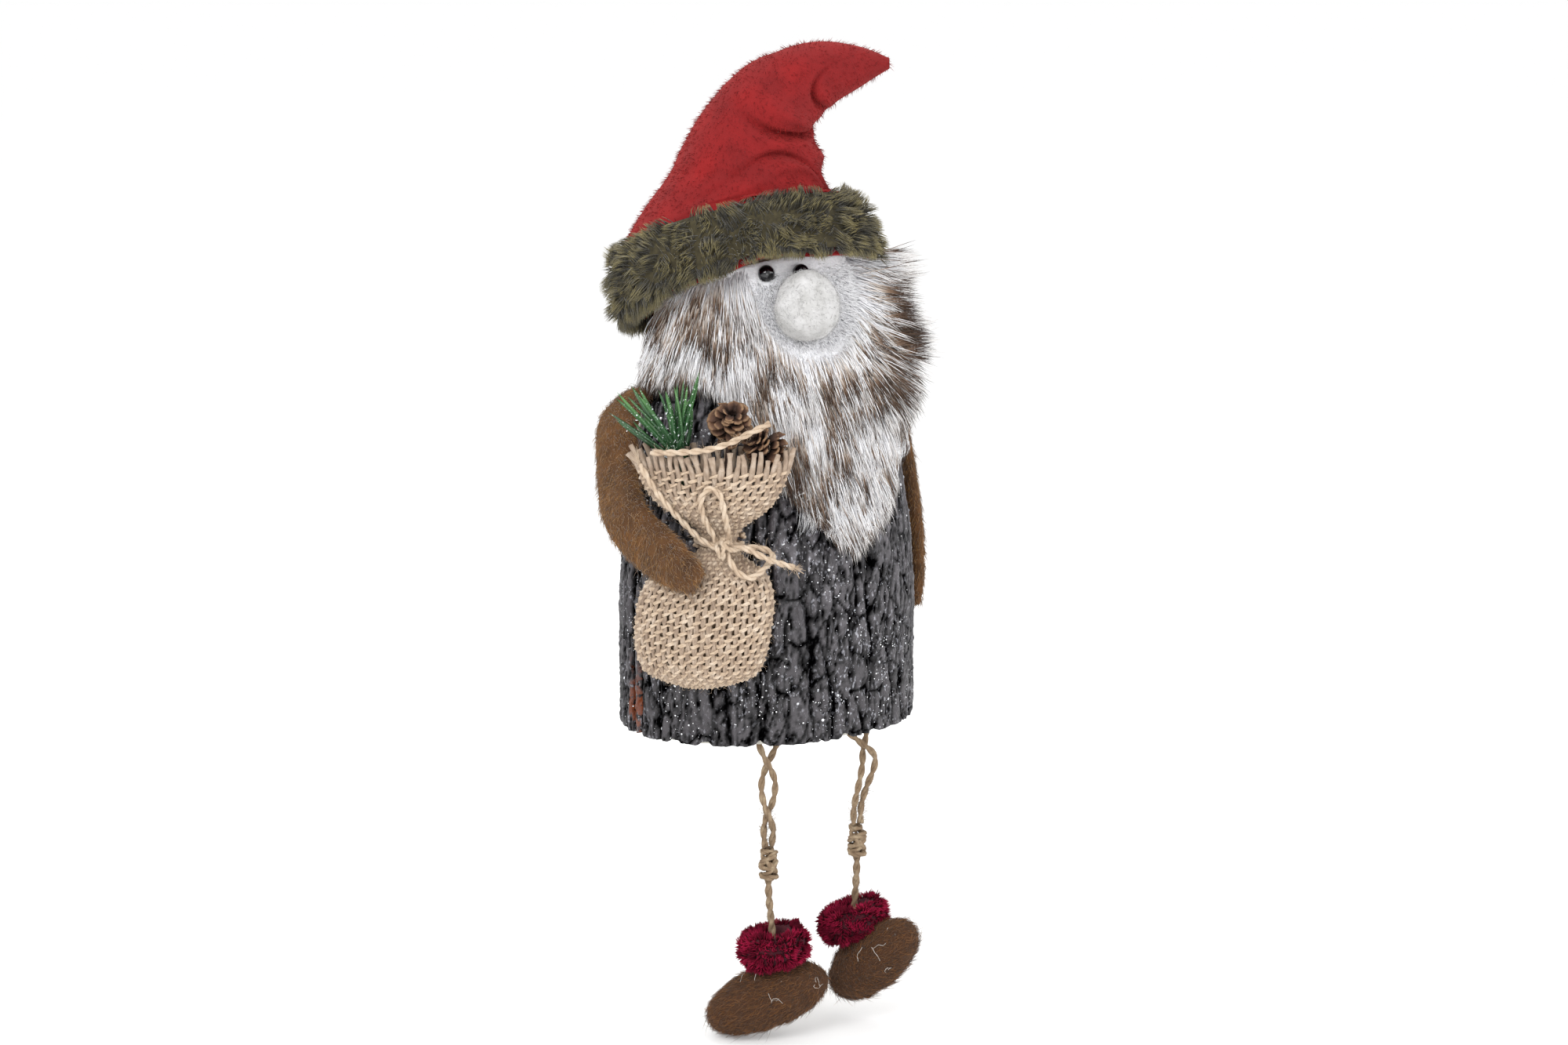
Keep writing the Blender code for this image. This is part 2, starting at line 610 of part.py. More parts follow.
def make_egg(name, surface, middle, half_sizes, turn, grow=0.0, egg=0.0, detail=(16, 10)):
    """A stuffed ball that faces the given turn; egg makes its foot wider than its top."""
    spin = Matrix.Rotation(math.radians(turn), 3, "Z")

    def place(way):
        swell = 1 - egg * way.z
        local = Vector((way.x * (half_sizes[0] + grow) * swell, way.y * (half_sizes[1] + grow) * swell,
                        way.z * (half_sizes[2] + grow)))
        return middle + spin @ local

    return ball(name, surface, *detail, place)


def make_face():
    reach = FACE_HALF_TURN * 0.9
    face = log_sheet("face_patch", WHITE_PLUSH, 10, 5, (FACE_TURN - reach, FACE_TURN + reach),
                     lambda turn: (face_floor(turn), hem_level(turn) - SEAT_GAP), SEAT_GAP,
                     lambda across, upward: soft_edge(across, upward, 0.55))
    give_wall(face, FACE_PILE, 1.0, "pile")
    nose_half = (NOSE_WIDTH / 2, NOSE_DEPTH / 2, NOSE_HEIGHT / 2)
    nose_middle = on_log(NOSE_TURN, NOSE_LEVEL, FACE_PILE + NOSE_DEPTH * NOSE_BURIED)
    eye_half = (EYE_DIAMETER / 2,) * 3
    pieces = [("nose", WOOL, nose_middle, nose_half, NOSE_TURN, NOSE_PEAR, (16, 10))]
    for name, turn in (("right_eye", RIGHT_EYE_TURN), ("left_eye", LEFT_EYE_TURN)):
        middle = on_log(turn, EYE_LEVEL, FACE_PILE)
        pieces.append((name, BLACK_BEAD, middle, eye_half, turn, 0.0, (12, 8)))
    for name, surface, middle, half, turn, egg, detail in pieces:
        dent = make_egg(f"{name}_dent", surface, middle, half, turn, DENT_GAP, egg, detail)
        boolean(face, dent, "DIFFERENCE")
        made = make_egg(name, surface, middle, half, turn, 0.0, egg, detail)
        if name == "left_eye":
            nose_dent = make_egg("left_eye_nose_dent", WOOL, nose_middle, nose_half, NOSE_TURN,
                                 DENT_GAP, NOSE_PEAR, (16, 10))
            boolean(made, nose_dent, "DIFFERENCE")


def make_beard():
    def levels(turn):
        low = beard_floor(turn)
        inside = abs(turn - FACE_TURN) < FACE_HALF_TURN
        high = (face_floor(turn) if inside else hem_level(turn)) - 2 * GLUE_GAP
        return low, high

    beard = log_sheet("beard_panel", BEARD_FUR, 26, 6, (BEARD_RIGHT_TURN, BEARD_LEFT_TURN), levels,
                      SEAT_GAP, lambda across, upward: soft_edge(across, upward, 0.42))
    give_wall(beard, BEARD_PILE, 1.0, "pile")


# The sack

SACK_OUT = log_normal(SACK_TURN)
SACK_ASIDE = Vector((-SACK_OUT.y, SACK_OUT.x, 0))


def sack_rows():
    """The sack from foot to mouth: height, half width, half depth, shift aside and shift out."""
    def row(z, width, depth, aside, out=0.0):
        return Vector((SACK_FOOT + z, width / 2, depth / 2, aside, out))

    rows = [row(SACK_BAG_HEIGHT * z, SACK_BAG_WIDTH * w, SACK_BAG_DEPTH * d, SACK_NECK_ASIDE * z ** 2)
            for z, w, d in SACK_BAG_ROWS]
    for end in (-0.5, 0.5):
        rows.append(row(SACK_BAG_HEIGHT + SACK_NECK_HEIGHT * end, SACK_NECK_WIDTH, SACK_NECK_DEPTH,
                        SACK_NECK_ASIDE))
    for z, flare in SACK_FLARE_ROWS:
        rows.append(row(SACK_BAG_HEIGHT + SACK_FLARE_HEIGHT * z,
                        between(SACK_NECK_WIDTH, SACK_MOUTH_WIDTH, flare),
                        between(SACK_NECK_DEPTH, SACK_MOUTH_DEPTH, flare),
                        between(SACK_NECK_ASIDE, SACK_MOUTH_ASIDE, flare),
                        SACK_MOUTH_LEAN * flare))
    return rows


SACK_ROWS = sack_rows()
NECK_SHARE = (len(SACK_BAG_ROWS) + 0.5) / (len(SACK_ROWS) - 1)
FILLING_TOP_SHARE = (len(SACK_BAG_ROWS) - 1) / (len(SACK_ROWS) - 1)


def sack_skin(share, angle):
    """A point of the sack's cloth at an angle round it, 90 degrees being its front."""
    z, half_width, half_depth, aside, lean = curve_value(SACK_ROWS, share)
    near = on_log(SACK_TURN, max(z, LOG_SHOULDER))
    middle = Vector((near.x, near.y, z)) + SACK_ASIDE * (aside + SACK_SHIFT)
    middle += SACK_OUT * (SACK_BAG_DEPTH / 2 + SACK_STANDOFF + lean)
    return middle + SACK_ASIDE * math.cos(angle) * half_width + SACK_OUT * math.sin(angle) * half_depth


def sack_point(share, angle, out=0.0):
    """The same point moved out from the cloth, square to it."""
    spot = sack_skin(share, angle)
    if not out:
        return spot
    step = 0.01
    along = sack_skin(min(1.0, share + step), angle) - sack_skin(max(0.0, share - step), angle)
    around = sack_skin(share, angle + step) - sack_skin(share, angle - step)
    return spot + along.cross(around).normalized() * out


def sack_middle(share):
    return sack_point(share, 0).lerp(sack_point(share, math.pi), 0.5)


def sack_share_at(z):
    low, high = 0.0, 1.0
    for _ in range(24):
        middle = (low + high) / 2
        if curve_value(SACK_ROWS, middle)[0] < z:
            low = middle
        else:
            high = middle
    return low


def sack_front(rise, aside, out):
    """A point in front of the cloth, from its height over the neck's middle and its distance aside."""
    share = sack_share_at(SACK_FOOT + SACK_BAG_HEIGHT + rise)
    half_width = curve_value(SACK_ROWS, share)[1]
    angle = math.acos(max(-1.0, min(1.0, aside / (half_width + out))))
    spot = sack_point(share, angle, out)
    beyond = aside - math.cos(angle) * (half_width + out)
    return spot + SACK_ASIDE * beyond


def over_sack(rise, aside, out):
    """A point above the middle of the sack's mouth."""
    return sack_middle(1.0) + UP * rise + SACK_ASIDE * aside + SACK_OUT * out


def make_sack():
    cloth = finish("sack_cloth", bent_cylinder(2 * len(SACK_ROWS) - 1, 20, sack_point, head=False), BURLAP)
    give_wall(cloth, SACK_CLOTH, -1.0)

    def filling_point(share, angle):
        return sack_point(between(0.0, FILLING_TOP_SHARE, share), angle, -SACK_CLOTH - GLUE_GAP)

    finish("sack_filling", bent_cylinder(11, 20, filling_point), WADDING)


def make_tie():
    """A turn and a half of twine round the neck, and in front of it the bow with its loops and tails."""
    rest = TWINE_RADIUS + GLUE_GAP
    rise = 2 * TWINE_RADIUS + 2 * GLUE_GAP
    wrap = []
    for i in range(WRAP_STEPS + 1):
        turn = WRAP_TURNS * (i / WRAP_STEPS - 0.5)
        share = sack_share_at(SACK_FOOT + SACK_BAG_HEIGHT + turn * rise)
        wrap.append(sack_point(share, math.pi / 2 + 2 * math.pi * turn, rest))
    tube("sack_tie", JUTE, wrap)

    knot_out = 2 * rest + BOW_KNOT_RADIUS
    knot_middle = sack_front(*(place * MM for place in BOW_KNOT_PLACE), knot_out)
    knot_size = (BOW_KNOT_RADIUS * BOW_KNOT_WIDTH, BOW_KNOT_RADIUS, BOW_KNOT_RADIUS)
    bow = make_egg("sack_bow", JUTE, knot_middle, knot_size,
                   SACK_TURN, detail=(14, 10))
    for name, route in BOW_STRANDS.items():
        keys = [sack_front(rise * MM, aside * MM, out * MM if out else knot_out)
                for rise, aside, out in route]
        line = smooth_line(keys, 2 * len(keys) + 3)
        boolean(bow, tube(name, JUTE, line), "UNION")


# What stands in the sack

def add_stem(obj, name, top, side):
    """Joins a wire stem to a pick, from the sack's filling up through the neck to the pick's middle."""
    foot = sack_middle(FILLING_TOP_SHARE)
    foot.z += GLUE_GAP + STEM_RADIUS
    low, high = (sack_middle(NECK_SHARE + s) for s in (-0.05, 0.05))
    line = [spot + SACK_ASIDE * side * STEM_SPACING for spot in (foot, low, high)] + [top]
    rod = tube(name, obj.data.materials[0], line, radius=STEM_RADIUS)
    boolean(obj, rod, "UNION")


def make_cone(name, diameter, place_over_sack, side):
    """A fir cone: an egg whose skin steps in and out with two families of spiral scales."""
    middle = over_sack(*place_over_sack[:3])
    spin = Matrix.Rotation(math.radians(place_over_sack[3]), 3, SACK_OUT)

    def place(way):
        height = math.asin(max(-1.0, min(1.0, way.z))) / math.pi + 0.5
        angle = math.atan2(way.y, way.x)
        scales = (0.5 + 0.5 * math.cos(5 * angle + 14 * math.pi * height)) * (
            0.5 + 0.5 * math.cos(8 * angle - 18 * math.pi * height))
        swell = 1 - CONE_SCALE_DEPTH * (1 - scales)
        return middle + spin @ (Vector((way.x * swell, way.y * swell, way.z * CONE_SLENDERNESS))
                                * diameter / 2)

    cone = ball(name, CONE_WOOD, 18, 12, place)
    add_stem(cone, f"{name}_stem", middle, side)


def make_sprig():
    """A plastic fir sprig: a fan of needles that leans to the figure's right, and an upright tuft."""
    foot = over_sack(*SPRIG_PLACE)
    stalk = [foot, foot + UP * NEEDLE_STEP * (len(NEEDLES) + 2)]
    root = tube("pine_sprig", GREEN_PLASTIC, stalk, radius=SPRIG_STALK_RADIUS)
    add_stem(root, "sprig_stem", foot + UP * NEEDLE_STEP, -1)
    for i, (lean, forward, length) in enumerate(NEEDLES):
        way = Matrix.Rotation(math.radians(-forward), 3, SACK_ASIDE) @ UP
        way = Matrix.Rotation(math.radians(lean), 3, SACK_OUT) @ way
        start = foot + UP * NEEDLE_STEP * (2 + i)
        end = start + way * NEEDLE_LENGTH * length
        needle = tube(f"needle_{i}", GREEN_PLASTIC, [start.lerp(end, s) for s in (0, 0.3, 0.75, 1)],
                      [0.8, 1.0, 0.8, 0.15], NEEDLE_WIDTH / 2, detail=0)
        boolean(root, needle, "UNION")


# The arms

def make_strip(name, keys, sections=14, sides=14):
    """A felt strip through keys of (middle, the way its flat side looks, share of its full width)."""
    middles, faces, widths = zip(*keys)

    def place(share, angle):
        ahead = (curve_value(middles, share + 0.02) - curve_value(middles, share - 0.02)).normalized()
        face = curve_value(faces, share)
        face = (face - ahead * face.dot(ahead)).normalized()
        width = curve_value(widths, share)
        across = face.cross(ahead)
        thick = min(1.0, 0.35 + 0.75 * width)
        return (curve_value(middles, share) + across * math.cos(angle) * ARM_WIDTH / 2 * width
                + face * signed_power(math.sin(angle), 0.8) * ARM_THICKNESS / 2 * thick)

    return finish(name, bent_cylinder(sections, sides, place), BROWN_FELT)


def make_arms():
    """The right arm bends round the sack and holds its neck; the left hangs down the log's side."""
    rest = ARM_THICKNESS / 2 + GLUE_GAP
    shoulder = on_log(RIGHT_SHOULDER_TURN, RIGHT_SHOULDER_LEVEL, rest - RIGHT_SHOULDER_SINK)
    keys = [(shoulder + Vector(way) * MM, Vector(face), width) for way, face, width in RIGHT_SLEEVE]
    for rise, aside, out, face, width in RIGHT_CUFF:
        keys.append((sack_front(rise * MM, aside * MM, 0) + SACK_OUT * out * MM, Vector(face), width))
    make_strip("right_arm", keys)

    keys = []
    for share, width in LEFT_ARM_WIDTHS:
        z = LEFT_SHOULDER_LEVEL - LEFT_ARM_LENGTH * share
        keys.append((on_log(LEFT_ARM_TURN, z, rest), log_normal(LEFT_ARM_TURN), width))
    make_strip("left_arm", keys)


# The legs

def make_leg_plan():
    """Where each leg hangs: its hip under the log, its knee, its ankle and how its shoe lies."""
    hip_y = LEG_FRONT_MARGIN - LOG_DEPTH / 2
    hip_z = -TWINE_RADIUS - SEAT_GAP
    plans = []
    for name, side, strands, thigh, shin, aside, reach, turn, rise, roll in (
        ("right", -1, RIGHT_THIGH_STRANDS, RIGHT_THIGH_LENGTH, RIGHT_SHIN_LENGTH, RIGHT_ANKLE_ASIDE,
         RIGHT_HEEL_REACH, RIGHT_TOE_TURN, RIGHT_TOE_RISE, RIGHT_SHOE_ROLL),
        ("left", 1, LEFT_THIGH_STRANDS, LEFT_THIGH_LENGTH, LEFT_SHIN_LENGTH, LEFT_ANKLE_ASIDE,
         LEFT_HEEL_REACH, LEFT_TOE_TURN, LEFT_TOE_RISE, LEFT_SHOE_ROLL),
    ):
        hip = Vector((LEG_ASIDE + side * LEG_SPACING / 2, hip_y, hip_z))
        knee = hip - UP * thigh
        facing = Matrix.Rotation(math.radians(turn), 3, "Z")
        tip = Matrix.Rotation(math.radians(-rise), 3, "X") @ Matrix.Rotation(math.radians(roll), 3, "Y")
        plans.append({"name": name, "hip": hip, "knee": knee, "ankle": knee + Vector((aside, 0, -shin)),
                      "shoe_spin": facing @ tip, "heel_reach": reach, "strands": strands})
    return plans


LEGS = make_leg_plan()


def hip_arch(leg, below=0.0):
    """The twine's arch inside the log, from one hole in its underside up and over to the other."""
    middle = Vector((leg["hip"].x, leg["hip"].y, 0))
    half = HIP_SPREAD / 2
    arc = [middle + Vector((-half * math.cos(a), 0, HIP_SOCKET_DEPTH + half * math.sin(a)))
           for a in (math.pi * i / 8 for i in range(9))]
    feet = [middle + Vector((side * half, 0, -below)) for side in (-1, 1)]
    return [feet[0]] + arc + [feet[1]]


KNOT_HALF_HEIGHT = KNOT_TURNS * (2 * TWINE_RADIUS + KNOT_GAP) / 2
KNEE_REACH = math.hypot(KNOT_COIL_RADIUS, KNOT_HALF_HEIGHT) + TWINE_RADIUS


def knot_line(middle):
    """The knot's turns: a short coil of twine round the shin's top, whose upper end curls in over it."""
    rise = 2 * TWINE_RADIUS + KNOT_GAP
    line = []
    for i in range(KNOT_TURNS * KNOT_STEPS + 1):
        turn = i / KNOT_STEPS - KNOT_TURNS / 2
        angle = 2 * math.pi * turn
        way = Vector((math.sin(angle), -math.cos(angle), 0))
        line.append(middle + way * KNOT_COIL_RADIUS + UP * rise * turn)
    for i in range(1, KNOT_STEPS // 2 + 1):
        share = 2 * i / KNOT_STEPS
        angle = math.pi * (KNOT_TURNS + share)
        way = Vector((math.sin(angle), -math.cos(angle), 0))
        height = between(KNOT_HALF_HEIGHT, KNEE_REACH - TWINE_RADIUS + KNOT_CROWN, share)
        line.append(middle + way * KNOT_COIL_RADIUS * (1 - share) + UP * height)
    return line


def least_gap(line, radius):
    """The least distance between two stretches of a tube, past the bend where they are neighbours."""
    starts = [0.0]
    for one, other in zip(line, line[1:]):
        starts.append(starts[-1] + (other - one).length)
    pairs = [(one - line[j]).length for i, one in enumerate(line) for j in range(i + 1, len(line))
             if starts[j] - starts[i] > math.pi * 2 * radius]
    return min(pairs) - 2 * radius


def make_leg(leg):
    """A doubled twine down to the knee, a knot, and the two plies of the shin."""
    name, hip, knee, ankle = leg["name"], leg["hip"], leg["knee"], leg["ankle"]
    tube(f"{name}_hip_loop", JUTE, hip_arch(leg))

    foot = knee + UP * (KNEE_REACH + SEAT_GAP + TWINE_RADIUS)
    for label, route in zip(("first", "second"), leg["strands"]):
        keys = [hip.lerp(foot, i / (len(route) - 1)) + Vector((x, y, 0)) * MM
                for i, (x, y) in enumerate(route)]
        line, shares = dome_ended(smooth_line(keys, 15), TWINE_RADIUS)
        tube(f"{name}_leg_{label}_strand", JUTE, line, shares)

    line = knot_line(knee)
    print(f"{name} knee knot: least gap {least_gap(line, TWINE_RADIUS) / MM:.2f} mm")
    tube(f"{name}_knee_knot", JUTE, line)

    top = knee + UP * (KNOT_HALF_HEIGHT - TWINE_RADIUS)
    length = (top - ankle).length
    core = KNOT_COIL_RADIUS - TWINE_RADIUS - SEAT_GAP

    def shin_point(share, angle):
        twist = 2 * math.pi * share * length / TWINE_LAY
        plies = TWINE_RADIUS * (1 + PLY_DEPTH * math.cos(2 * (angle - twist)))
        below = share * length - 2 * KNOT_HALF_HEIGHT
        radius = between(core, plies, smoothstep(below / (2 * TWINE_RADIUS)))
        middle = top + UP * (ankle.z - top.z) * share
        middle.x += (ankle.x - top.x) * smoothstep(below / (length - 2 * KNOT_HALF_HEIGHT))
        return middle + Vector((math.cos(angle), math.sin(angle), 0)) * radius

    return finish(f"{name}_shin_twine", bent_cylinder(16, 8, shin_point), JUTE)


def shoe_point(leg, way, grow=0.0):
    """The shoe's felt skin in a direction from its middle: an egg with a fuller toe and a flatter sole."""
    toe = 0.5 - way.y / 2
    waist = 1 - SHOE_WAIST * math.exp(-((toe - 0.45) / 0.2) ** 2)
    sole = SHOE_SOLE_DEPTH if way.z < 0 else 1.0
    local = Vector((way.x * (SHOE_WIDTH / 2 + grow) * waist * between(SHOE_HEEL_WIDTH, SHOE_TOE_WIDTH, toe),
                    way.y * (SHOE_LENGTH / 2 + grow) - (SHOE_LENGTH / 2 - leg["heel_reach"]),
                    way.z * (SHOE_HEIGHT / 2 + grow) * sole * between(1.0, SHOE_TOE_HEIGHT, toe)
                    - SHOE_HEIGHT / 2))
    return leg["ankle"] + leg["shoe_spin"] @ local


def make_shoe(leg):
    """A felt shoe, and the chenille cuff that sits on it round the twine."""
    def skin(name, grow):
        return ball(name, BROWN_FELT, 18, 11, lambda way: shoe_point(leg, way, grow))

    skin(f"{leg['name']}_shoe", 0.0)
    bore = TWINE_RADIUS * (1 + PLY_DEPTH) + 2 * SEAT_GAP

    lean = UP.rotation_difference(UP.lerp(leg["shoe_spin"] @ UP, CUFF_LEAN)).to_matrix()
    middle = leg["ankle"] + UP * CUFF_HEIGHT * CUFF_LIFT

    def cuff_point(major, height, out):
        ruffle = 1 + CUFF_RUFFLE_DEPTH * math.sin(CUFF_RUFFLES * major) * out
        radius = between(bore, CUFF_DIAMETER / 2 * ruffle, out)
        spot = Vector((math.cos(major) * radius, math.sin(major) * radius, CUFF_HEIGHT / 2 * height))
        return middle + spot.lerp(lean @ spot, out)

    cuff = ring(f"{leg['name']}_shoe_cuff", BURGUNDY, 28, 8, cuff_point)
    boolean(cuff, skin(f"{leg['name']}_cuff_seat", DENT_GAP), "DIFFERENCE")
    boolean(bpy.data.objects[f"{leg['name']}_shin_twine"], skin(f"{leg['name']}_twine_seat", 2 * DENT_GAP),
            "DIFFERENCE")


make_log()
make_bark()
make_hat()
make_face()
make_beard()
make_sack()
make_tie()
make_cone("upper_pine_cone", UPPER_CONE_DIAMETER, UPPER_CONE_PLACE, 0)
make_cone("lower_pine_cone", LOWER_CONE_DIAMETER, LOWER_CONE_PLACE, 1)
make_sprig()
make_arms()
for each_leg in LEGS:
    make_leg(each_leg)
    make_shoe(each_leg)
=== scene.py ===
# %% [markdown]
# A shelf-sitting santa figurine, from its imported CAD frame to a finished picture. Each step first says what
# the piece is on the real figurine and why it is made the way it is. Sizes are real millimetres, and the
# figurine's own left is +X; it faces -Y.

# %% Load the frame
import json
import math

import bmesh
import bpy
import numpy as np
from mathutils import Matrix, Vector, noise
from mathutils.kdtree import KDTree

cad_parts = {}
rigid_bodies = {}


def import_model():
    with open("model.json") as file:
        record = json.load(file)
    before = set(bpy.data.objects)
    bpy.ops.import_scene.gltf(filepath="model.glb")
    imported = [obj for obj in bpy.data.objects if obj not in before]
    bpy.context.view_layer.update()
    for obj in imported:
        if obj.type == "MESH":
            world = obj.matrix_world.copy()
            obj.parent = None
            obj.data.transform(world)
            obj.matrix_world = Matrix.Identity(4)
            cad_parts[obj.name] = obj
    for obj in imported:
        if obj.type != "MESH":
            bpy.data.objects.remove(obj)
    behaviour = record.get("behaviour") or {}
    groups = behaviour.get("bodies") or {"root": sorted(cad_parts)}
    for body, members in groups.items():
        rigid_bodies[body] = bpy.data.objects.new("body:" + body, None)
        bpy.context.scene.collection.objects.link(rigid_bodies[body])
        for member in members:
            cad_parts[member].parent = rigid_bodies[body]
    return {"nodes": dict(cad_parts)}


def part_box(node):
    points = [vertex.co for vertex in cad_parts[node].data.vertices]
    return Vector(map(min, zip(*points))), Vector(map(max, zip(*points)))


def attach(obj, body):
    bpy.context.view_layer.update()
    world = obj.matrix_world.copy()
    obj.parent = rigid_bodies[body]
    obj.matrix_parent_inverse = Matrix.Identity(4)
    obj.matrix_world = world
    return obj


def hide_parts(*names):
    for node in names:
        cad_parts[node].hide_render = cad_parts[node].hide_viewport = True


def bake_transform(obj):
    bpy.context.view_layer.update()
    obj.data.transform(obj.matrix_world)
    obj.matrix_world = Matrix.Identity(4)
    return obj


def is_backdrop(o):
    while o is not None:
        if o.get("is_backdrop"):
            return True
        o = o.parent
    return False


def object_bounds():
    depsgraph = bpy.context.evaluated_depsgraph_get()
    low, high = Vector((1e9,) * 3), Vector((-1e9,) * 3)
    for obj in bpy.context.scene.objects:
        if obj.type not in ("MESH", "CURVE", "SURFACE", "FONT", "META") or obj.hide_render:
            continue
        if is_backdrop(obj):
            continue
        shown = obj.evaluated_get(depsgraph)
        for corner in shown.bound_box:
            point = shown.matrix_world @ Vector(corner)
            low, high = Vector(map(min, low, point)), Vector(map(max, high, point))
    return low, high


MM = 0.001
UP = Vector((0, 0, 1))
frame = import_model()
NODES = frame["nodes"]
CAD_BOX = [[float(v) for v in corner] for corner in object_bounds()]
print("CAD box in mm:", [[round(v / MM) for v in corner] for corner in CAD_BOX])

# %% [markdown]
# The camera stands where the photographer did: a little to the figurine's right and slightly above it, with
# a long lens. It comes first, because everything else is judged through it.

# %% Camera
AZIMUTH, ELEVATION = math.radians(-28.0), math.radians(11.0)
BACK = Vector((math.sin(AZIMUTH) * math.cos(ELEVATION), -math.cos(AZIMUTH) * math.cos(ELEVATION),
               math.sin(ELEVATION)))
RIGHT = Vector((math.cos(AZIMUTH), math.sin(AZIMUTH), 0))
AIM = RIGHT * 5.25 * MM + UP * 63 * MM

lens = bpy.data.cameras.new("camera")
lens.lens = 72
lens.sensor_width = 36
lens.clip_start = 0.01
camera = bpy.data.objects.new("camera", lens)
bpy.context.collection.objects.link(camera)
camera.location = AIM + BACK
camera.rotation_euler = BACK.to_track_quat("Z", "Y").to_euler()
bpy.context.scene.camera = camera
bpy.context.scene.view_settings.view_transform = "Standard"
print("camera at", [round(v, 3) for v in camera.location])

# %% [markdown]
# Every finish is a few shader nodes. One function adds a node of any kind with its settings and links, and
# the hex colours that a paint chart gives turn into the linear values that Blender calculates with. The
# finishes share a few recipes: a colour that wanders over the surface, one that runs along a hair, and the
# two tones of a plant fibre. Every size in them is in real millimetres.

# %% Shader helpers


def linear(code):
    """An sRGB hex colour as linear RGBA."""
    parts = [int(code[i:i + 2], 16) / 255 for i in (1, 3, 5)]
    return [p / 12.92 if p <= 0.04045 else ((p + 0.055) / 1.055) ** 2.4 for p in parts] + [1.0]


def fill(node, values):
    """Sets a node's inputs: numbers and hex colours on their sockets, and other nodes' outputs by a link."""
    for name, value in values.items():
        if isinstance(value, bpy.types.NodeSocket):
            node.id_data.links.new(value, node.inputs[name])
        else:
            node.inputs[name].default_value = linear(value) if isinstance(value, str) else value


def add(tree, kind, inputs=None, stops=(), out=0, **settings):
    """Adds a shader node with its settings and links, and gives one of its outputs.
    stops are a colour ramp's places and hex colours."""
    node = tree.nodes.new("ShaderNode" + kind)
    for name, value in settings.items():
        setattr(node, name, value)
    fill(node, inputs or {})
    if stops:
        elements = node.color_ramp.elements
        while len(elements) < len(stops):
            elements.new(0.5)
        for element, (place, code) in zip(elements, stops):
            element.position = place
            element.color = linear(code)
    return node.outputs[out]


def new_finish(name, roughness, **values):
    """A new material, its node tree and its shader; values are numbers for the shader's own sockets."""
    material = bpy.data.materials.new(name)
    material.use_nodes = True
    shader = material.node_tree.nodes["Principled BSDF"]
    fill(shader, {"Roughness": roughness, **{key.replace("_", " "): value for key, value in values.items()}})
    return material, material.node_tree, shader


def grain(tree, size_mm, detail=2.0, stretch=(1, 1, 1)):
    """Noise whose features are about this many millimetres across, drawn out by stretch along an axis."""
    place = add(tree, "TexCoord", out="Object")
    scale = [1 / (size_mm * MM * s) for s in stretch]
    mapped = add(tree, "Mapping", {"Vector": place, "Scale": scale})
    return add(tree, "TexNoise", {"Vector": mapped, "Scale": 1.0, "Detail": detail}, out="Fac")


def wandering(name, roughness, size_mm, detail, stops, pits=None, **values):
    """A finish whose colour wanders through the stops; pits are its relief's size in mm, detail and depth."""
    material, tree, shader = new_finish(name, roughness, **values)
    fill(shader, {"Base Color": add(tree, "ValToRGB", {"Fac": grain(tree, size_mm, detail)}, stops)})
    if pits:
        rough = add(tree, "Bump", {"Height": grain(tree, *pits[:2]), "Distance": pits[2] * MM})
        fill(shader, {"Normal": rough})
    return material


def hair_colour(tree, stops, other=None):
    """Stops that run from root to tip, or one hex colour; each hair's own tint mixes in the other colour."""
    colour = stops
    if not isinstance(stops, str):
        along = add(tree, "Attribute", out="Fac", attribute_name="along")
        colour = add(tree, "ValToRGB", {"Fac": along}, stops)
    if other:
        tint = add(tree, "Attribute", out="Fac", attribute_name="tint")
        colour = add(tree, "MixRGB", {"Fac": tint, "Color1": colour, "Color2": other})
    return colour


def hair(name, roughness, stops, other=None, **values):
    material, tree, shader = new_finish(name, roughness, **values)
    fill(shader, {"Base Color": hair_colour(tree, stops, other)})
    return material


def bast_fibre(name, roughness, tone_mm, fine_mm, depth_mm, stops, dull):
    """A finish of spun plant fibre: tones that wander along the yarn, and flat fibres as fine relief."""
    material, tree, shader = new_finish(name, roughness)
    fine = grain(tree, fine_mm)
    tone = add(tree, "ValToRGB", {"Fac": grain(tree, tone_mm, 3.0)}, stops)
    fill(shader, {"Base Color": add(tree, "MixRGB", {"Fac": fine, "Color1": tone, "Color2": dull}),
                  "Normal": add(tree, "Bump", {"Height": fine, "Distance": depth_mm * MM})})
    return material


def felted(name, one, other, fibres, pits, sheen, worn=None, **values):
    """Matted fibre with sheen: two tones, its relief, and worn patches in a third tone. Each pattern is given
    as its size in mm and its detail."""
    material, tree, shader = new_finish(name, 0.95, Sheen_Roughness=0.5, **values)
    colour = add(tree, "MixRGB", {"Fac": grain(tree, *fibres), "Color1": one, "Color2": other})
    if worn:
        patch = add(tree, "ValToRGB", {"Fac": grain(tree, *worn[:2])}, ((0.35, "#000000"), (0.7, "#FFFFFF")))
        colour = add(tree, "MixRGB", {"Fac": patch, "Color1": colour, "Color2": worn[2]})
    rough = add(tree, "Bump", {"Height": grain(tree, *pits[:2]), "Distance": pits[2] * MM})
    fill(shader, {"Base Color": colour, "Sheen Tint": sheen, "Normal": rough})
    return material


print("shader helpers ready")

# %% [markdown]
# The picture was taken on white with broad, soft light. The world gives most of the light, evenly, and one
# large lamp from the upper left shapes the forms. The floor and the world show pure white to the camera,
# and the floor keeps the soft shadow under the shoes.

# %% Floor, world and lamps
FLOOR_LEVEL = CAD_BOX[0][2] - 1.5 * MM

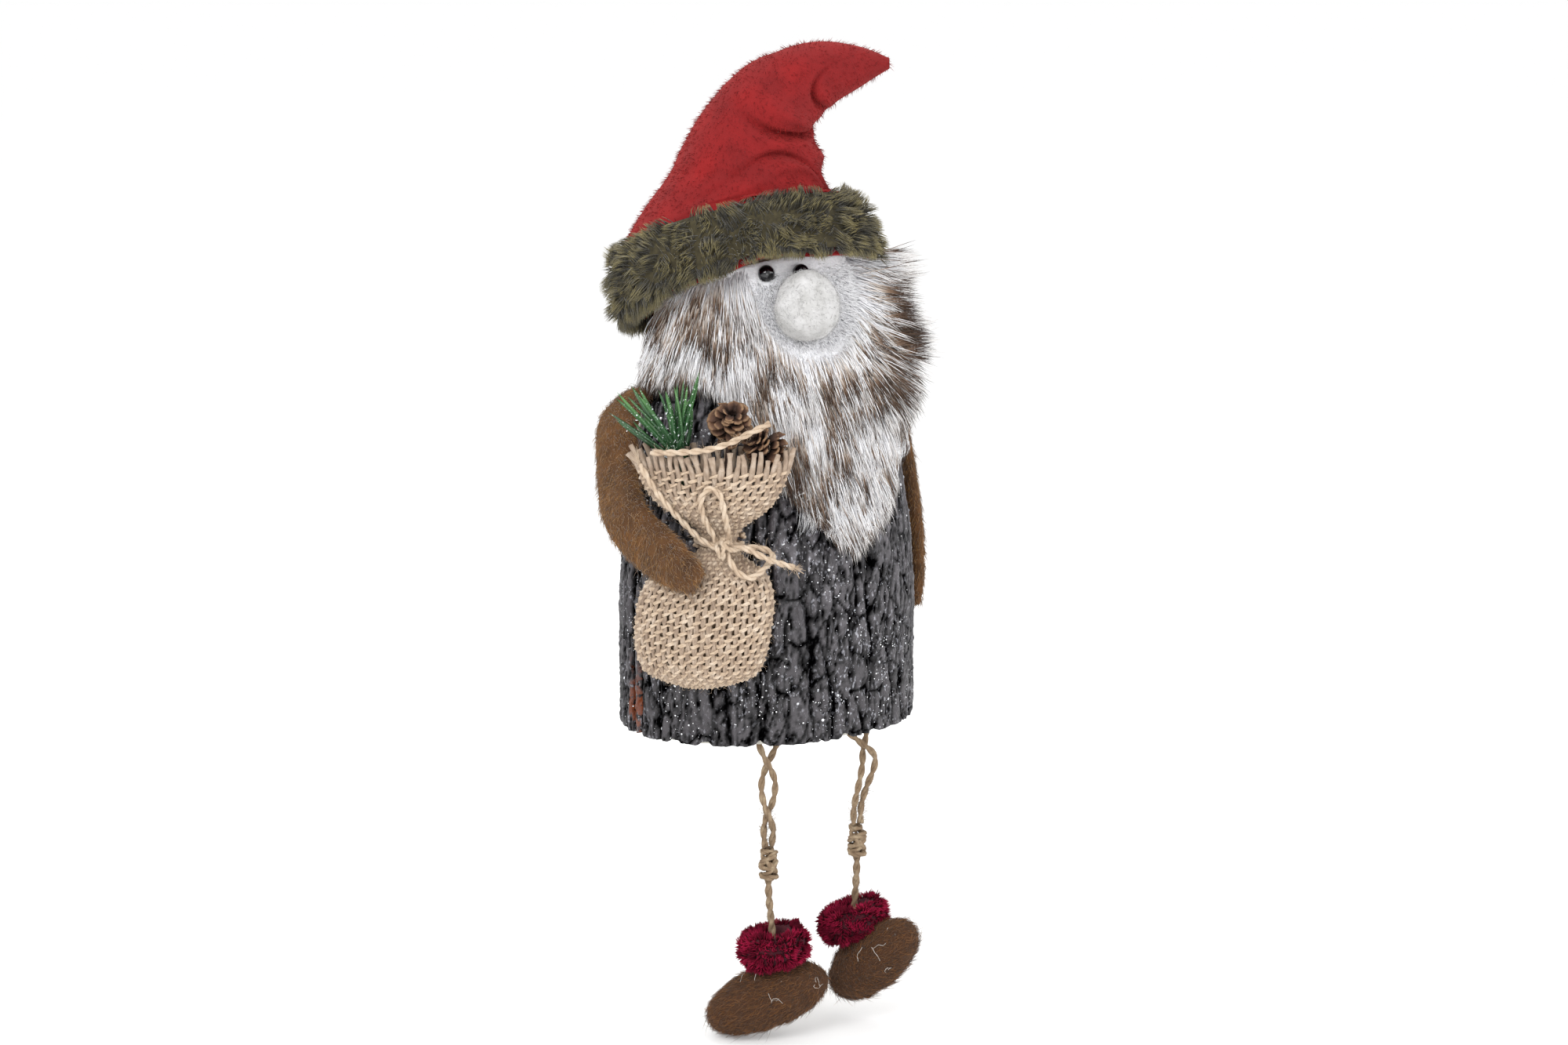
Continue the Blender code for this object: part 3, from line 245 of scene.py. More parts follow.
world = bpy.data.worlds.new("studio")
bpy.context.scene.world = world
world.use_nodes = True
tree = world.node_tree
seen = add(tree, "LightPath", out="Is Camera Ray")
for ray in ("Is Glossy Ray", "Is Transmission Ray"):
    seen = add(tree, "Math", {0: seen, 1: add(tree, "LightPath", out=ray)}, operation="MAXIMUM")
strength = add(tree, "Mix", {"Factor": seen, "A": 0.95, "B": 1.0})
fill(tree.nodes["Background"], {"Color": "#FFFFFF", "Strength": strength})

# Matt backdrop paper: nearly white, so that the shadow under the shoes stays soft and grey
paper, tree, shader = new_finish("backdrop_paper", 0.9)
fill(shader, {"Base Color": "#F0F0F0"})
lift = add(tree, "Math", {0: add(tree, "LightPath", out="Is Camera Ray"), 1: 0.16}, operation="MULTIPLY")
glow = add(tree, "Emission", {"Color": "#FFFFFF", "Strength": lift})
both = add(tree, "AddShader", {0: shader.outputs["BSDF"], 1: glow})
fill(tree.nodes["Material Output"], {"Surface": both})

bm = bmesh.new()
bmesh.ops.create_grid(bm, x_segments=1, y_segments=1, size=60.0)
bmesh.ops.translate(bm, verts=bm.verts, vec=(0, 0, FLOOR_LEVEL))
data = bpy.data.meshes.new("floor")
bm.to_mesh(data)
bm.free()
floor = bpy.data.objects.new("floor", data)
data.materials.append(paper)
bpy.context.collection.objects.link(floor)
floor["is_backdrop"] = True

LAMPS = (("key", (-0.95, -0.75, 0.85), 0.6, 11.0), ("fill", (0.75, -0.85, 0.25), 0.8, 4.5),
         ("top", (0.1, 0.35, 1.0), 0.7, 2.5), ("low", (-0.35, -1.0, -0.02), 0.5, 1.6))
for name, place, size, power in LAMPS:
    lamp = bpy.data.lights.new(name, "AREA")
    lamp.size = size
    lamp.energy = power
    holder = bpy.data.objects.new(name, lamp)
    bpy.context.collection.objects.link(holder)
    holder.location = place
    holder.rotation_euler = (Vector(place) - Vector((0, 0, 0.06))).to_track_quat("Z", "Y").to_euler()
print("floor at", round(FLOOR_LEVEL / MM, 1), "mm")

# %% [markdown]
# Most of this figurine is thread, hair or cloth: thousands of thin things that share a few shapes. Four
# helpers make them. One turns a bmesh into a piece that rides on its body. One draws a bundle of round
# threads as one curve with a bevel, which Blender then makes a mesh. One lays two plies round a path, as
# twine is spun. The last one copies a single tapered hair, made once with operators, to thousands of roots.

# %% Making pieces


def cover(obj, material):
    """Gives a piece or a node this one material."""
    obj.data.materials.clear()
    obj.data.materials.append(material)


def dress(obj, body, material, replaced=(), bend=None):
    """Gives a piece its material, and lets it ride on a body in place of the named CAD nodes.
    bend, when given, bakes the piece's place into its mesh and leaves it on no body; its other body, start
    and end are not used."""
    cover(obj, material)
    if bend:
        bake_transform(obj)
    else:
        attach(obj, body)
    if replaced:
        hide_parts(*replaced)
    return obj


def from_bmesh(name, bm):
    """A smooth-shaded piece from a bmesh."""
    data = bpy.data.meshes.new(name)
    bm.to_mesh(data)
    bm.free()
    obj = bpy.data.objects.new(name, data)
    bpy.context.collection.objects.link(obj)
    data.shade_smooth()
    return obj


def as_applied(obj):
    """Puts the result of a piece's modifiers, or of its curve, into a plain mesh."""
    bpy.context.view_layer.update()
    graph = bpy.context.evaluated_depsgraph_get()
    data = bpy.data.meshes.new_from_object(obj.evaluated_get(graph))
    name = obj.name
    bpy.data.objects.remove(obj, do_unlink=True)
    made = bpy.data.objects.new(name, data)
    bpy.context.collection.objects.link(made)
    data.shade_smooth()
    return made


def threads(name, routes, radius, detail=1, closed=False, taper=None):
    """One mesh of round threads; radius is one size, or one for each route; taper(share) thins the ends."""
    data = bpy.data.curves.new(name, "CURVE")
    data.dimensions = "3D"
    data.bevel_depth = 1.0
    data.bevel_resolution = detail
    data.use_fill_caps = True
    for i, route in enumerate(routes):
        spline = data.splines.new("POLY")
        spline.points.add(len(route) - 1)
        spline.points.foreach_set("co", np.c_[np.array(route), np.ones(len(route))].ravel())
        own = radius[i] if hasattr(radius, "__len__") else radius
        shares = [taper(k / (len(route) - 1)) if taper else 1.0 for k in range(len(route))]
        spline.points.foreach_set("radius", [own * share for share in shares])
        spline.use_cyclic_u = closed
    curve = bpy.data.objects.new(name, data)
    bpy.context.collection.objects.link(curve)
    obj = as_applied(curve)
    bm = bmesh.new()
    bm.from_mesh(obj.data)
    bmesh.ops.remove_doubles(bm, verts=bm.verts, dist=1e-7)
    bmesh.ops.recalc_face_normals(bm, faces=bm.faces)
    bm.to_mesh(obj.data)
    bm.free()
    obj.data.shade_smooth()
    return obj


def unit(vectors):
    return vectors / np.maximum(np.linalg.norm(vectors, axis=-1, keepdims=True), 1e-12)


def distances(path):
    """How far along a path each of its points lies."""
    return np.r_[0, np.cumsum(np.linalg.norm(np.diff(path, axis=0), axis=1))]


def resampled(path, step):
    """A path through the same points, with a point about every step."""
    path = np.array([tuple(p) for p in path], dtype=float)
    starts = distances(path)
    places = np.linspace(0, starts[-1], max(4, int(starts[-1] / step) + 1))
    return np.stack([np.interp(places, starts, path[:, k]) for k in range(3)], axis=1)


def path_length(path):
    return float(np.linalg.norm(np.diff(np.array([tuple(p) for p in path]), axis=0), axis=1).sum())


def sides_along(path):
    """For each point of a path, two directions square to it that turn as little as they can."""
    ahead = unit(np.gradient(path, axis=0))
    side = unit(np.cross(ahead[0], (0.3, 0.2, 1.0) if abs(ahead[0][2]) < 0.9 else (1.0, 0.2, 0.1)))
    sides = []
    for way in ahead:
        side = unit(side - way * side.dot(way))
        sides.append(side)
    sides = np.array(sides)
    return sides, np.cross(ahead, sides)


TWINE_RADIUS = 1.1 * MM
TWINE_LAY = 9.5 * MM


def plies(path, radius=TWINE_RADIUS, lay=TWINE_LAY, start=0.0):
    """The routes of the two plies that a twine is laid from, wound round its path."""
    path = resampled(path, lay / 12)
    side, other = sides_along(path)
    along = distances(path)
    routes = []
    for k in (0, 1):
        turn = start + 2 * math.pi * (along / lay + k / 2)
        routes.append(path + (side * np.cos(turn)[:, None] + other * np.sin(turn)[:, None]) * radius * 0.42)
    return routes


def as_arrays(bm):
    """A small shape's points and triangles. They are sorted, so that every run gives the same ones."""
    bmesh.ops.triangulate(bm, faces=bm.faces)
    bm.verts.index_update()
    points = np.array([v.co[:] for v in bm.verts])
    corners = [[v.index for v in f.verts] for f in bm.faces]
    bm.free()
    starts = [row.index(min(row)) for row in corners]
    return points, np.array(sorted(row[start:] + row[:start] for row, start in zip(corners, starts)))


def hair_shape(cuts):
    """One hair as a three-sided spike of unit size: its points and its triangles."""
    bm = bmesh.new()
    bmesh.ops.create_cone(bm, cap_ends=True, segments=3, radius1=1, radius2=1, depth=1)
    uprights = [e for e in bm.edges if abs(e.verts[0].co.z - e.verts[1].co.z) > 0.5]
    bmesh.ops.subdivide_edges(bm, edges=uprights, cuts=cuts, use_grid_fill=True)
    for v in bm.verts:
        if v.co.z > 0.49:
            v.co.x = v.co.y = 0
    bmesh.ops.remove_doubles(bm, verts=bm.verts, dist=0.001)
    return as_arrays(bm)


def copies(name, points, triangles, notes=None):
    """A mesh from arrays of repeated shapes, with its notes as numbers on its points."""
    count, each = points.shape[:2]
    faces = (triangles[None] + (np.arange(count) * each)[:, None, None]).reshape(-1, 3)
    data = bpy.data.meshes.new(name)
    data.vertices.add(count * each)
    data.vertices.foreach_set("co", points.reshape(-1).astype(np.float32))
    data.loops.add(len(faces) * 3)
    data.loops.foreach_set("vertex_index", faces.reshape(-1).astype(np.int32))
    data.polygons.add(len(faces))
    data.polygons.foreach_set("loop_start", np.arange(len(faces), dtype=np.int32) * 3)
    data.update(calc_edges=True)
    for key, values in (notes or {}).items():
        values = np.broadcast_to(values, (count, each)).reshape(-1).astype(np.float32)
        data.attributes.new(key, "FLOAT", "POINT").data.foreach_set("value", values)
    data.shade_smooth()
    obj = bpy.data.objects.new(name, data)
    bpy.context.collection.objects.link(obj)
    return obj


def grow(name, roots, tips, width, droop=None, cuts=2, taper=0.6, flat=1.0, seed=0, **notes):
    """Hairs from roots to tips. droop bends each one, flat squeezes its section, and notes colour it."""
    rng = np.random.default_rng(seed)
    shape, triangles = hair_shape(cuts)
    share = shape[:, 2] + 0.5
    way = tips - roots
    droop = np.zeros_like(way) if droop is None else droop
    side = unit(np.cross(way, rng.normal(size=way.shape)))
    other = unit(np.cross(way, side))
    width = np.broadcast_to(width, len(roots)) / 2
    spread = width[:, None] * np.maximum(1 - share, 0.0)[None] ** taper
    points = (roots[:, None] + way[:, None] * share[None, :, None]
              + droop[:, None] * (share * (1 - share) * 4)[None, :, None]
              + side[:, None] * (shape[None, :, 0] * spread)[..., None]
              + other[:, None] * (shape[None, :, 1] * spread * flat)[..., None])
    extra = {key: np.asarray(values)[:, None] for key, values in notes.items()}
    return copies(name, points, triangles, {"along": share[None], **extra})


def roots_on(source, count, seed, keep=None):
    """Even random points on a node's or piece's surface, with the direction it faces at each."""
    rng = np.random.default_rng(seed)
    data = source.data
    data.calc_loop_triangles()
    places = np.empty(len(data.vertices) * 3, dtype=np.float32)
    data.vertices.foreach_get("co", places)
    corners = np.empty(len(data.loop_triangles) * 3, dtype=np.int32)
    data.loop_triangles.foreach_get("vertices", corners)
    places = places.reshape(-1, 3).astype(float)
    a, b, c = (places[corners.reshape(-1, 3)[:, k]] for k in range(3))
    square = np.cross(b - a, c - a)
    weight = np.linalg.norm(square, axis=1)
    normal = unit(square)
    if keep:
        weight = weight * keep((a + b + c) / 3, normal)
    pick = rng.choice(len(a), count, p=weight / weight.sum())
    u, v = rng.random((2, count))
    over = u + v > 1
    u, v = np.where(over, 1 - u, u), np.where(over, 1 - v, v)
    return a[pick] + u[:, None] * (b - a)[pick] + v[:, None] * (c - a)[pick], normal[pick]


def clumped(roots, tips, count, pull, seed):
    """Draws each tip towards that of the nearest leading hair, and says which one leads it."""
    rng = np.random.default_rng(seed)
    leaders = rng.choice(len(roots), count, replace=False)
    nearest = KDTree(count)
    for i, leader in enumerate(leaders):
        nearest.insert(roots[leader], i)
    nearest.balance()
    led_by = np.array([nearest.find(root)[1] for root in roots])
    leader = leaders[led_by]
    middle = tips[leader] + (roots - roots[leader]) * 0.25
    return tips + (middle - tips) * pull, led_by


def cloud(points, size_mm, seed=0.0):
    """Smooth noise from -1 to 1 at each point, with features of about this size."""
    shift = Vector((seed * 7.3, seed * 3.1, seed * 5.7))
    return np.array([noise.noise(Vector(p) / (size_mm * MM) + shift) for p in points])


def solid_copy(node, name, levels=0, inset=0.0):
    """A merged copy of a CAD node, smoothed by subdivision and drawn in along its normals."""
    bm = bmesh.new()
    bm.from_mesh(NODES[node].data)
    bmesh.ops.remove_doubles(bm, verts=bm.verts, dist=1e-6)
    bmesh.ops.join_triangles(bm, faces=bm.faces, angle_face_threshold=0.7, angle_shape_threshold=0.9)
    bm.normal_update()
    if inset:
        moves = [v.normal * inset for v in bm.verts]
        for v, move in zip(bm.verts, moves):
            v.co -= move
    obj = from_bmesh(name, bm)
    if levels:
        modifier = obj.modifiers.new("smooth", "SUBSURF")
        modifier.levels = modifier.render_levels = levels
        obj = as_applied(obj)
    return obj


print("hair of", len(hair_shape(2)[1]), "triangles")

# %% [markdown]
# Jute twine is spun from pale brown bast fibres and laid from two plies. Its colour wanders from straw to
# light brown, the fibres run along it, and short ones stand off it everywhere. The plies are geometry. The
# fibres that stand off are hairs, and the ones that lie flat are fine noise.

# %% Jute
# Spun jute bast: dull and dry, straw to light brown along its length, with no shine
JUTE = bast_fibre("jute_bast_fibre", 0.85, 2.2, 0.22, 0.12,
                  ((0.3, "#6A5540"), (0.5, "#8F7960"), (0.7, "#B7A68B")), "#735F49")


def fuzz_along(name, routes, count, reach_mm, seed, body, material=JUTE, bend=None):
    """Loose fibres that stand off threads."""
    rng = np.random.default_rng(seed)
    points = np.concatenate([np.array(r) for r in routes])
    roots = points[rng.integers(0, len(points), count)]
    ways = unit(rng.normal(size=(count, 3))) * (reach_mm * MM * rng.uniform(0.35, 1.0, count))[:, None]
    droop = rng.normal(size=(count, 3)) * 0.25 * reach_mm * MM
    obj = grow(name, roots, roots + ways, 0.09 * MM, droop, seed=seed)
    return dress(obj, body, material, bend=bend)


# %% [markdown]
# The legs come first of the pieces, because they are cords. Each thigh is one twine doubled: it leaves the
# log's underside by two holes and its two strands cross and open on the way down to the knot. The strands'
# routes are those of the solids, in millimetres from the hip.

# %% The legs' plan


def curve_value(keys, share):
    """A Catmull-Rom curve through evenly spaced keys."""
    place = max(0.0, min(1.0, share)) * (len(keys) - 1)
    i = min(int(place), len(keys) - 2)
    s = place - i
    p0, p1, p2 = keys[max(i - 1, 0)], keys[i], keys[i + 1]
    p3 = keys[min(i + 2, len(keys) - 1)]
    return 0.5 * (2 * p1 + (p2 - p0) * s + (2 * p0 - 5 * p1 + 4 * p2 - p3) * s ** 2
                  + (3 * p1 - p0 - 3 * p2 + p3) * s ** 3)


def smooth_line(keys, count):
    return [curve_value(keys, i / (count - 1)) for i in range(count)]


def smoothstep(value):
    value = np.clip(value, 0.0, 1.0)
    return value * value * (3 - 2 * value)


KNOT_RADIUS = 2.3 * MM
KNOT_RISE = 2.75 * MM
KNOT_HALF = 3 * KNOT_RISE / 2
KNEE_REACH = math.hypot(KNOT_RADIUS, KNOT_HALF) + TWINE_RADIUS
LEGS = {
    "right": {
        "hip": Vector((-14, -27, -1.4)) * MM, "thigh": 40 * MM, "shin": 32 * MM, "aside": 2.0 * MM,
        "strands": (((-3.4, 0.0), (-2.04, -1.0), (0.1, -1.31), (1.9, -0.75), (2.3, 0.0), (1.6, 0.75),
                     (0.0, 1.35), (-1.3, 0.75), (-1.25, 0.0)),
                    ((3.4, 0.0), (2.04, 1.0), (-0.1, 1.31), (-1.9, 0.75), (-2.3, 0.0), (-1.6, -0.75),
                     (0.0, -1.35), (1.3, -0.75), (1.25, 0.0))),
    },
    "left": {
        "hip": Vector((18, -27, -1.4)) * MM, "thigh": 37 * MM, "shin": 30.5 * MM, "aside": -1.2 * MM,
        "strands": (((-3.4, 0.0), (0.4, -1.3), (4.9, -1.3), (6.2, -0.6), (5.2, -0.3), (3.6, 0.0), (2.2, 0.0),
                     (1.4, 0.0), (1.25, 0.0)),
                    ((3.4, 0.0), (3.6, 1.3), (2.8, 1.4), (2.4, 0.8), (1.5, 0.3), (0.4, 0.0), (-0.5, 0.0),
                     (-1.2, 0.0), (-1.25, 0.0))),
    },
}

# %% [markdown]
# The knot is where the doubled twine is tied off. It is a short coil of three turns, and its upper end tucks
# in between the two strands. Each turn lies at a slant of its own, as in a knot that was pulled tight by
# hand. Below it the single twine goes down into the shoe's cuff.

# %% Thigh strands, knots and shins
for side, leg in LEGS.items():
    hip = leg["hip"]
    knee = hip - UP * leg["thigh"]
    foot = knee + UP * (KNEE_REACH + 0.3 * MM + TWINE_RADIUS)
    at_knee = (f"{side}_shin", knee + UP * 13 * MM, knee + UP * 5 * MM)
    fuzzy = []
    for label, route in zip(("first", "second"), leg["strands"]):
        last = len(route) - 1
        keys = [hip.lerp(foot, i / last) + Vector((x, y, 0)) * MM for i, (x, y) in enumerate(route)]
        line = smooth_line(keys, 25)
        line = ([line[0] - (line[1] - line[0]).normalized() * TWINE_RADIUS * 0.3] + line
                + [line[-1] + (line[-1] - line[-2]).normalized() * TWINE_RADIUS * 0.9])
        laid = plies(line, start=0.7 if label == "first" else 2.1)
        strand = threads(f"{side}_leg_{label}_twine", laid, TWINE_RADIUS * 0.60, detail=2)
        dress(strand, f"{side}_thigh", JUTE, [f"{side}_leg_{label}_strand"], at_knee)
        length = path_length(line)
        fuzzy += [ply[28:] for ply in laid]
        print(strand.name, round(length / MM, 1), "mm long")
    fuzz_along(f"{side}_thigh_fibres", fuzzy, 420, 3.0, 3, f"{side}_thigh", bend=at_knee)

    coil = []
    for i in range(46):
        turn = i / 12 - 1.5 if i <= 36 else 1.5 + (i - 36) / 18
        share = max(0.0, (i - 36) / 9)
        radius = KNOT_RADIUS * (1 - share)
        rise = KNOT_RISE * turn if i <= 36 else KNOT_HALF + (KNEE_REACH - TWINE_RADIUS - KNOT_HALF) * share
        slant = 0.55 * math.sin(2.1 * turn + (1.0 if side == "left" else 0.0)) * (1 - share)
        angle = 2 * math.pi * turn
        coil.append(knee + Vector((radius * math.sin(angle), -radius * math.cos(angle),
                                   rise + slant * radius * math.sin(angle + 0.8))))
    over = [knee + Vector((1.9 * math.cos(a), -2.75 * math.sin(a) if math.sin(a) > 0 else -1.9 * math.sin(a),
                           3.3 * math.sin(a * 0.5 - 0.75) * 1.25)) * MM
            for a in np.linspace(-0.5, math.pi + 0.5, 16)]
    back_over = [knee + Vector((p.x - knee.x, p.y - knee.y, knee.z - p.z)) for p in over]
    collar = [knee + Vector((1.4 * math.cos(a), 1.4 * math.sin(a), 5.2 + 0.2 * math.sin(a))) * MM
              for a in np.linspace(0, 2 * math.pi, 18)]
    laid = plies(coil, radius=1.15 * MM, start=0.4) + plies(over, radius=1.0 * MM, lay=6 * MM)
    laid += plies(back_over, radius=1.0 * MM, lay=6 * MM) + plies(collar, radius=0.5 * MM, lay=5 * MM)
    sizes = [TWINE_RADIUS * 0.6] * 2 + [0.56 * MM] * 4 + [0.44 * MM] * 2
    knot = threads(f"{side}_knee_knot_twine", laid, sizes, detail=2)
    dress(knot, f"{side}_shin", JUTE, [f"{side}_knee_knot"])
    fuzz_along(f"{side}_knot_fibres", laid, 160, 2.4, 5, f"{side}_shin")

    top = knee + UP * (KNOT_HALF - TWINE_RADIUS)
    ankle = knee + Vector((leg["aside"], 0, -leg["shin"]))
    leg["ankle"] = ankle
    line = []
    for i in range(30):
        share = i / 29
        below = share * (top.z - ankle.z) - 2 * KNOT_HALF
        spot = top + UP * (ankle.z - top.z) * share
        spot.x += leg["aside"] * float(smoothstep(below / (top.z - ankle.z - 2 * KNOT_HALF)))
        line.append(spot)
    laid = plies(line, radius=1.2 * MM, lay=8.5 * MM)
    shin = threads(f"{side}_shin_cord", laid, TWINE_RADIUS * 0.66, detail=2)
    dress(shin, f"{side}_shin", JUTE, [f"{side}_shin_twine"])
    length = path_length(line)
    fuzz_along(f"{side}_shin_fibres", [route[:-18] for route in laid], 230, 3.0, 7, f"{side}_shin")
    print(shin.name, round(length / MM, 1), "mm long")
    cover(NODES[f"{side}_hip_loop"], JUTE)

# %% [markdown]
# The log is a block of foam, cut square across its foot, with a sheet of bark wrapped round it. Everything
# that is glued on later is placed with one function, which gives the bark's outer face at any turn and
# height.

# %% The log's outer face
LOG_WIDTH, LOG_DEPTH, LOG_HEIGHT, LOG_SHOULDER = 98 * MM, 79 * MM, 155 * MM, 37 * MM


def log_share(z):
    rise = np.maximum(0.0, z - LOG_SHOULDER) / (LOG_HEIGHT - LOG_SHOULDER)
    return 1 - 0.50 * rise ** 1.7


def log_normal(turn):
    angle = math.radians(turn)
    return Vector((math.sin(angle) / LOG_WIDTH, -math.cos(angle) / LOG_DEPTH, 0)).normalized()


def on_log(turn, z, out=0.0):
    angle = math.radians(turn)
    share = float(log_share(z))
    spot = Vector((LOG_WIDTH / 2 * share * math.sin(angle), -LOG_DEPTH / 2 * share * math.cos(angle), z))
    return spot + log_normal(turn) * out


# Expanded polystyrene foam: off-white, with the faint dimples of its beads
FOAM = wandering("expanded_foam", 0.9, 2.5, 1.0, ((0.35, "#CFCBC0"), (0.65, "#E4E1D8")), (1.6, 1.0, 0.25))
cover(NODES["log_core"], FOAM)
print("foam on the log's core")

# %% [markdown]
# The bark is real and painted: charcoal grey with a violet cast, split by long furrows into upright plates,
# rough on top, and sprinkled with silver glitter. Its relief is deep enough to break the outline, so it is
# geometry: a fine grid round the log whose points move in at the furrows. The mesh keeps how much painted
# shade each point gets, black in the furrows, cracks and hollows, and the paint's colour reads that. At the
# seam on the figurine's right, the red inner bark shows low down.

# %% Bark
SHEET_LENGTH, SHEET_HEIGHT = 278, 126  # the bark laid flat, in mm
BARK_TOP, BARK_FOOT = SHEET_HEIGHT * MM, 0.2 * MM
SEAM_TURN = -88.0
SEAM_HALF_GAP = math.degrees(2.6 * MM / LOG_DEPTH)
FURROWS = 34
FURROW_PITCH = SHEET_LENGTH / FURROWS
FURROW_DEPTH = 1.5


def furrow_line(k, upward):
    """Where furrow k runs at this height, counted in furrows round the bark from its seam."""
    sway = 0.30 * math.sin(7 * upward + 0.3 * k) + 0.16 * math.sin(17 * upward + 2.3 * k)
    aside = 0.15 * math.sin(2.9 * k)
    return k + 0.5 + (sway + aside) * min(1.0, k / 2, (FURROWS - 1 - k) / 2)


def furrow_depth(k, upward):
    return FURROW_DEPTH * (0.68 + 0.32 * math.sin(11 * upward + 1.7 * k))


def bark_height(across, upward):
    """The bark's relief in mm, and how much painted shade it gets there, from 0 to 1: most in furrows, cracks
    and hollows.
    """
    x, z = across * SHEET_LENGTH, upward * SHEET_HEIGHT
    shake = 0.10 * noise.noise(Vector((x / 3, z / 5, 4.0)))
    place = across * FURROWS + shake
    height, dark = 0.0, 0.0
    for k in range(max(0, int(place) - 2), min(FURROWS, int(place) + 3)):
        away = abs(place - furrow_line(k, upward)) * FURROW_PITCH
        depth = furrow_depth(k, upward)
        height = min(height, -depth * max(0.0, 1 - away / 1.3) ** 0.8)
        dark = max(dark, 0.95 * depth / FURROW_DEPTH * math.exp(-(away / 0.55) ** 2))
    sway = 2.5 * noise.noise(Vector((x / 14, z / 14, 3.0)))
    cell = Vector(((x + sway) / 4.8, (z + 1.6 * sway) / 16, 6.0))
    near, far = noise.voronoi(cell)[0][:2]
    crack = math.exp(-((far - near) / 0.06) ** 2)
    split = math.exp(-(noise.noise(Vector(((x - sway) / 3.1, z / 26, 1.0))) / 0.07) ** 2)
    lumps = noise.fractal(Vector((x / 2.4, z / 3.8, 2.0)), 0.8, 2.1, 4)
    height += -0.45 * crack - 0.30 * split + 0.42 * lumps + 0.10
    dark = min(1.0, max(dark, 0.65 * crack, 0.50 * split) + max(0.0, -0.60 * lumps))
    return height, dark


bm = bmesh.new()
bmesh.ops.create_grid(bm, x_segments=400, y_segments=205, size=0.5)
# Each point's share free of painted shade: 1 on the plates, falling to 0 in the black of a furrow, crack or
# hollow
unshaded = {}
for v in bm.verts:
    across, upward = v.co.x + 0.5, v.co.y + 0.5
    turn = SEAM_TURN + SEAM_HALF_GAP + across * (360 - 2 * SEAM_HALF_GAP)
    z = BARK_FOOT + (BARK_TOP - BARK_FOOT) * upward
    height, dark = bark_height(across, upward)
    rim = min(across, 1 - across) * SHEET_LENGTH
    height -= 0.8 * math.exp(-rim / 0.8) + 0.4 * math.exp(-(z / MM) / 0.7)
    chipped = noise.noise(Vector((across * SHEET_LENGTH / 5.5, 7.0, 1.0)))
    chipped += 0.5 * noise.noise(Vector((across * 150, 3, 2)))
    z += max(0.0, chipped) * 2.6 * MM * math.exp(-(z / MM) / 3.0)
    unshaded[v.index] = 1 - dark
    v.co = on_log(turn, z, height * MM)
unshaded_levels = [unshaded[v.index] for v in bm.verts]
grid_faces = len(bm.faces)
edges = [e for e in bm.edges if e.is_boundary]
made = bmesh.ops.extrude_edge_only(bm, edges=edges)["geom"]
rim_points = [g for g in made if isinstance(g, bmesh.types.BMVert)]
for v in rim_points:
    inward = Vector((v.co.x / LOG_WIDTH ** 2, v.co.y / LOG_DEPTH ** 2, 0)).normalized()
    v.co -= inward * 2.0 * MM
bmesh.ops.recalc_face_normals(bm, faces=bm.faces)
bm.verts.index_update()
bm.faces.index_update()


def face_order(face):
    """The grid's faces in their order, then the rim's by their last two points, so that every run agrees."""
    low, high = sorted(v.index for v in face.verts)[-2:]
    return face.index if face.index < grid_faces else low * 1e6 + high


bm.faces.sort(key=face_order)
bark = from_bmesh("bark_plates", bm)
# The rim that turns in under the bark's edges is painted in full shade
unshaded_levels += [0.0] * len(rim_points)
bark.data.attributes.new("unshaded", "FLOAT", "POINT").data.foreach_set("value", unshaded_levels)

# Painted bark: charcoal with a violet cast and a low gloss on the plates; black painted shade, with less
# gloss, in the furrows, cracks and hollows; dusty grey where the ridges are worn; darker towards the foot as
# painted shade;
# and the inner bark shows rust red beside the seam
BARK, tree, shader = new_finish("painted_bark", 0.42)
place = add(tree, "TexCoord", out="Object")
level = add(tree, "SeparateXYZ", {"Vector": place}, out="Z")
# The share free of painted shade: 1 on the plates, 0 where furrows, cracks and hollows are painted black as
# shade
high = add(tree, "Attribute", out="Fac", attribute_name="unshaded")
paint_and_shade = add(tree, "ValToRGB", {"Fac": high},
            ((0.0, "#030303"), (0.4, "#0A090A"), (0.75, "#2B282C"), (1.0, "#5C585D")))
patchy = add(tree, "ValToRGB", {"Fac": grain(tree, 9)}, ((0.35, "#8F8790"), (0.65, "#FFFFFF")))
# Painted shade: the bark darkens towards the log's foot, most below 20 mm and not at all above 70 mm
shade = add(tree, "MapRange", {"Value": level, "From Min": 20 * MM, "From Max": 70 * MM,
                               "To Min": 0.62, "To Max": 0.0})
patchy = add(tree, "MixRGB", {"Fac": shade, "Color1": patchy, "Color2": "#6E666C"})
paint_and_shade = add(tree, "MixRGB", {"Fac": 1.0, "Color1": paint_and_shade, "Color2": patchy}, blend_type="MULTIPLY")
dust = grain(tree, 0.9, 5.0, (1, 1, 1.6))
dust = add(tree, "MapRange", {"Value": dust, "From Min": 0.57, "From Max": 0.66})
worn = add(tree, "MapRange", {"Value": grain(tree, 16), "From Min": 0.40, "From Max": 0.62, "To Min": 0.15})
for limit in (high, worn):
    dust = add(tree, "Math", {0: dust, 1: limit}, operation="MULTIPLY")
paint_and_shade = add(tree, "MixRGB", {"Fac": dust, "Color1": paint_and_shade, "Color2": "#9A9AA2"})
near = add(tree, "VectorMath", {0: place, 1: tuple(on_log(SEAM_TURN + 2.0, 10 * MM))}, operation="SUBTRACT")
near = add(tree, "VectorMath", {0: near, 1: (1, 1, 0.04)}, operation="MULTIPLY")
away = add(tree, "VectorMath", {0: near}, out="Value", operation="LENGTH")
ragged = add(tree, "Math", {0: grain(tree, 5.0, 3.0), 1: -5.0 * MM, 2: 5.6 * MM}, operation="MULTIPLY_ADD")
past = add(tree, "Math", {0: away, 1: ragged}, operation="SUBTRACT")
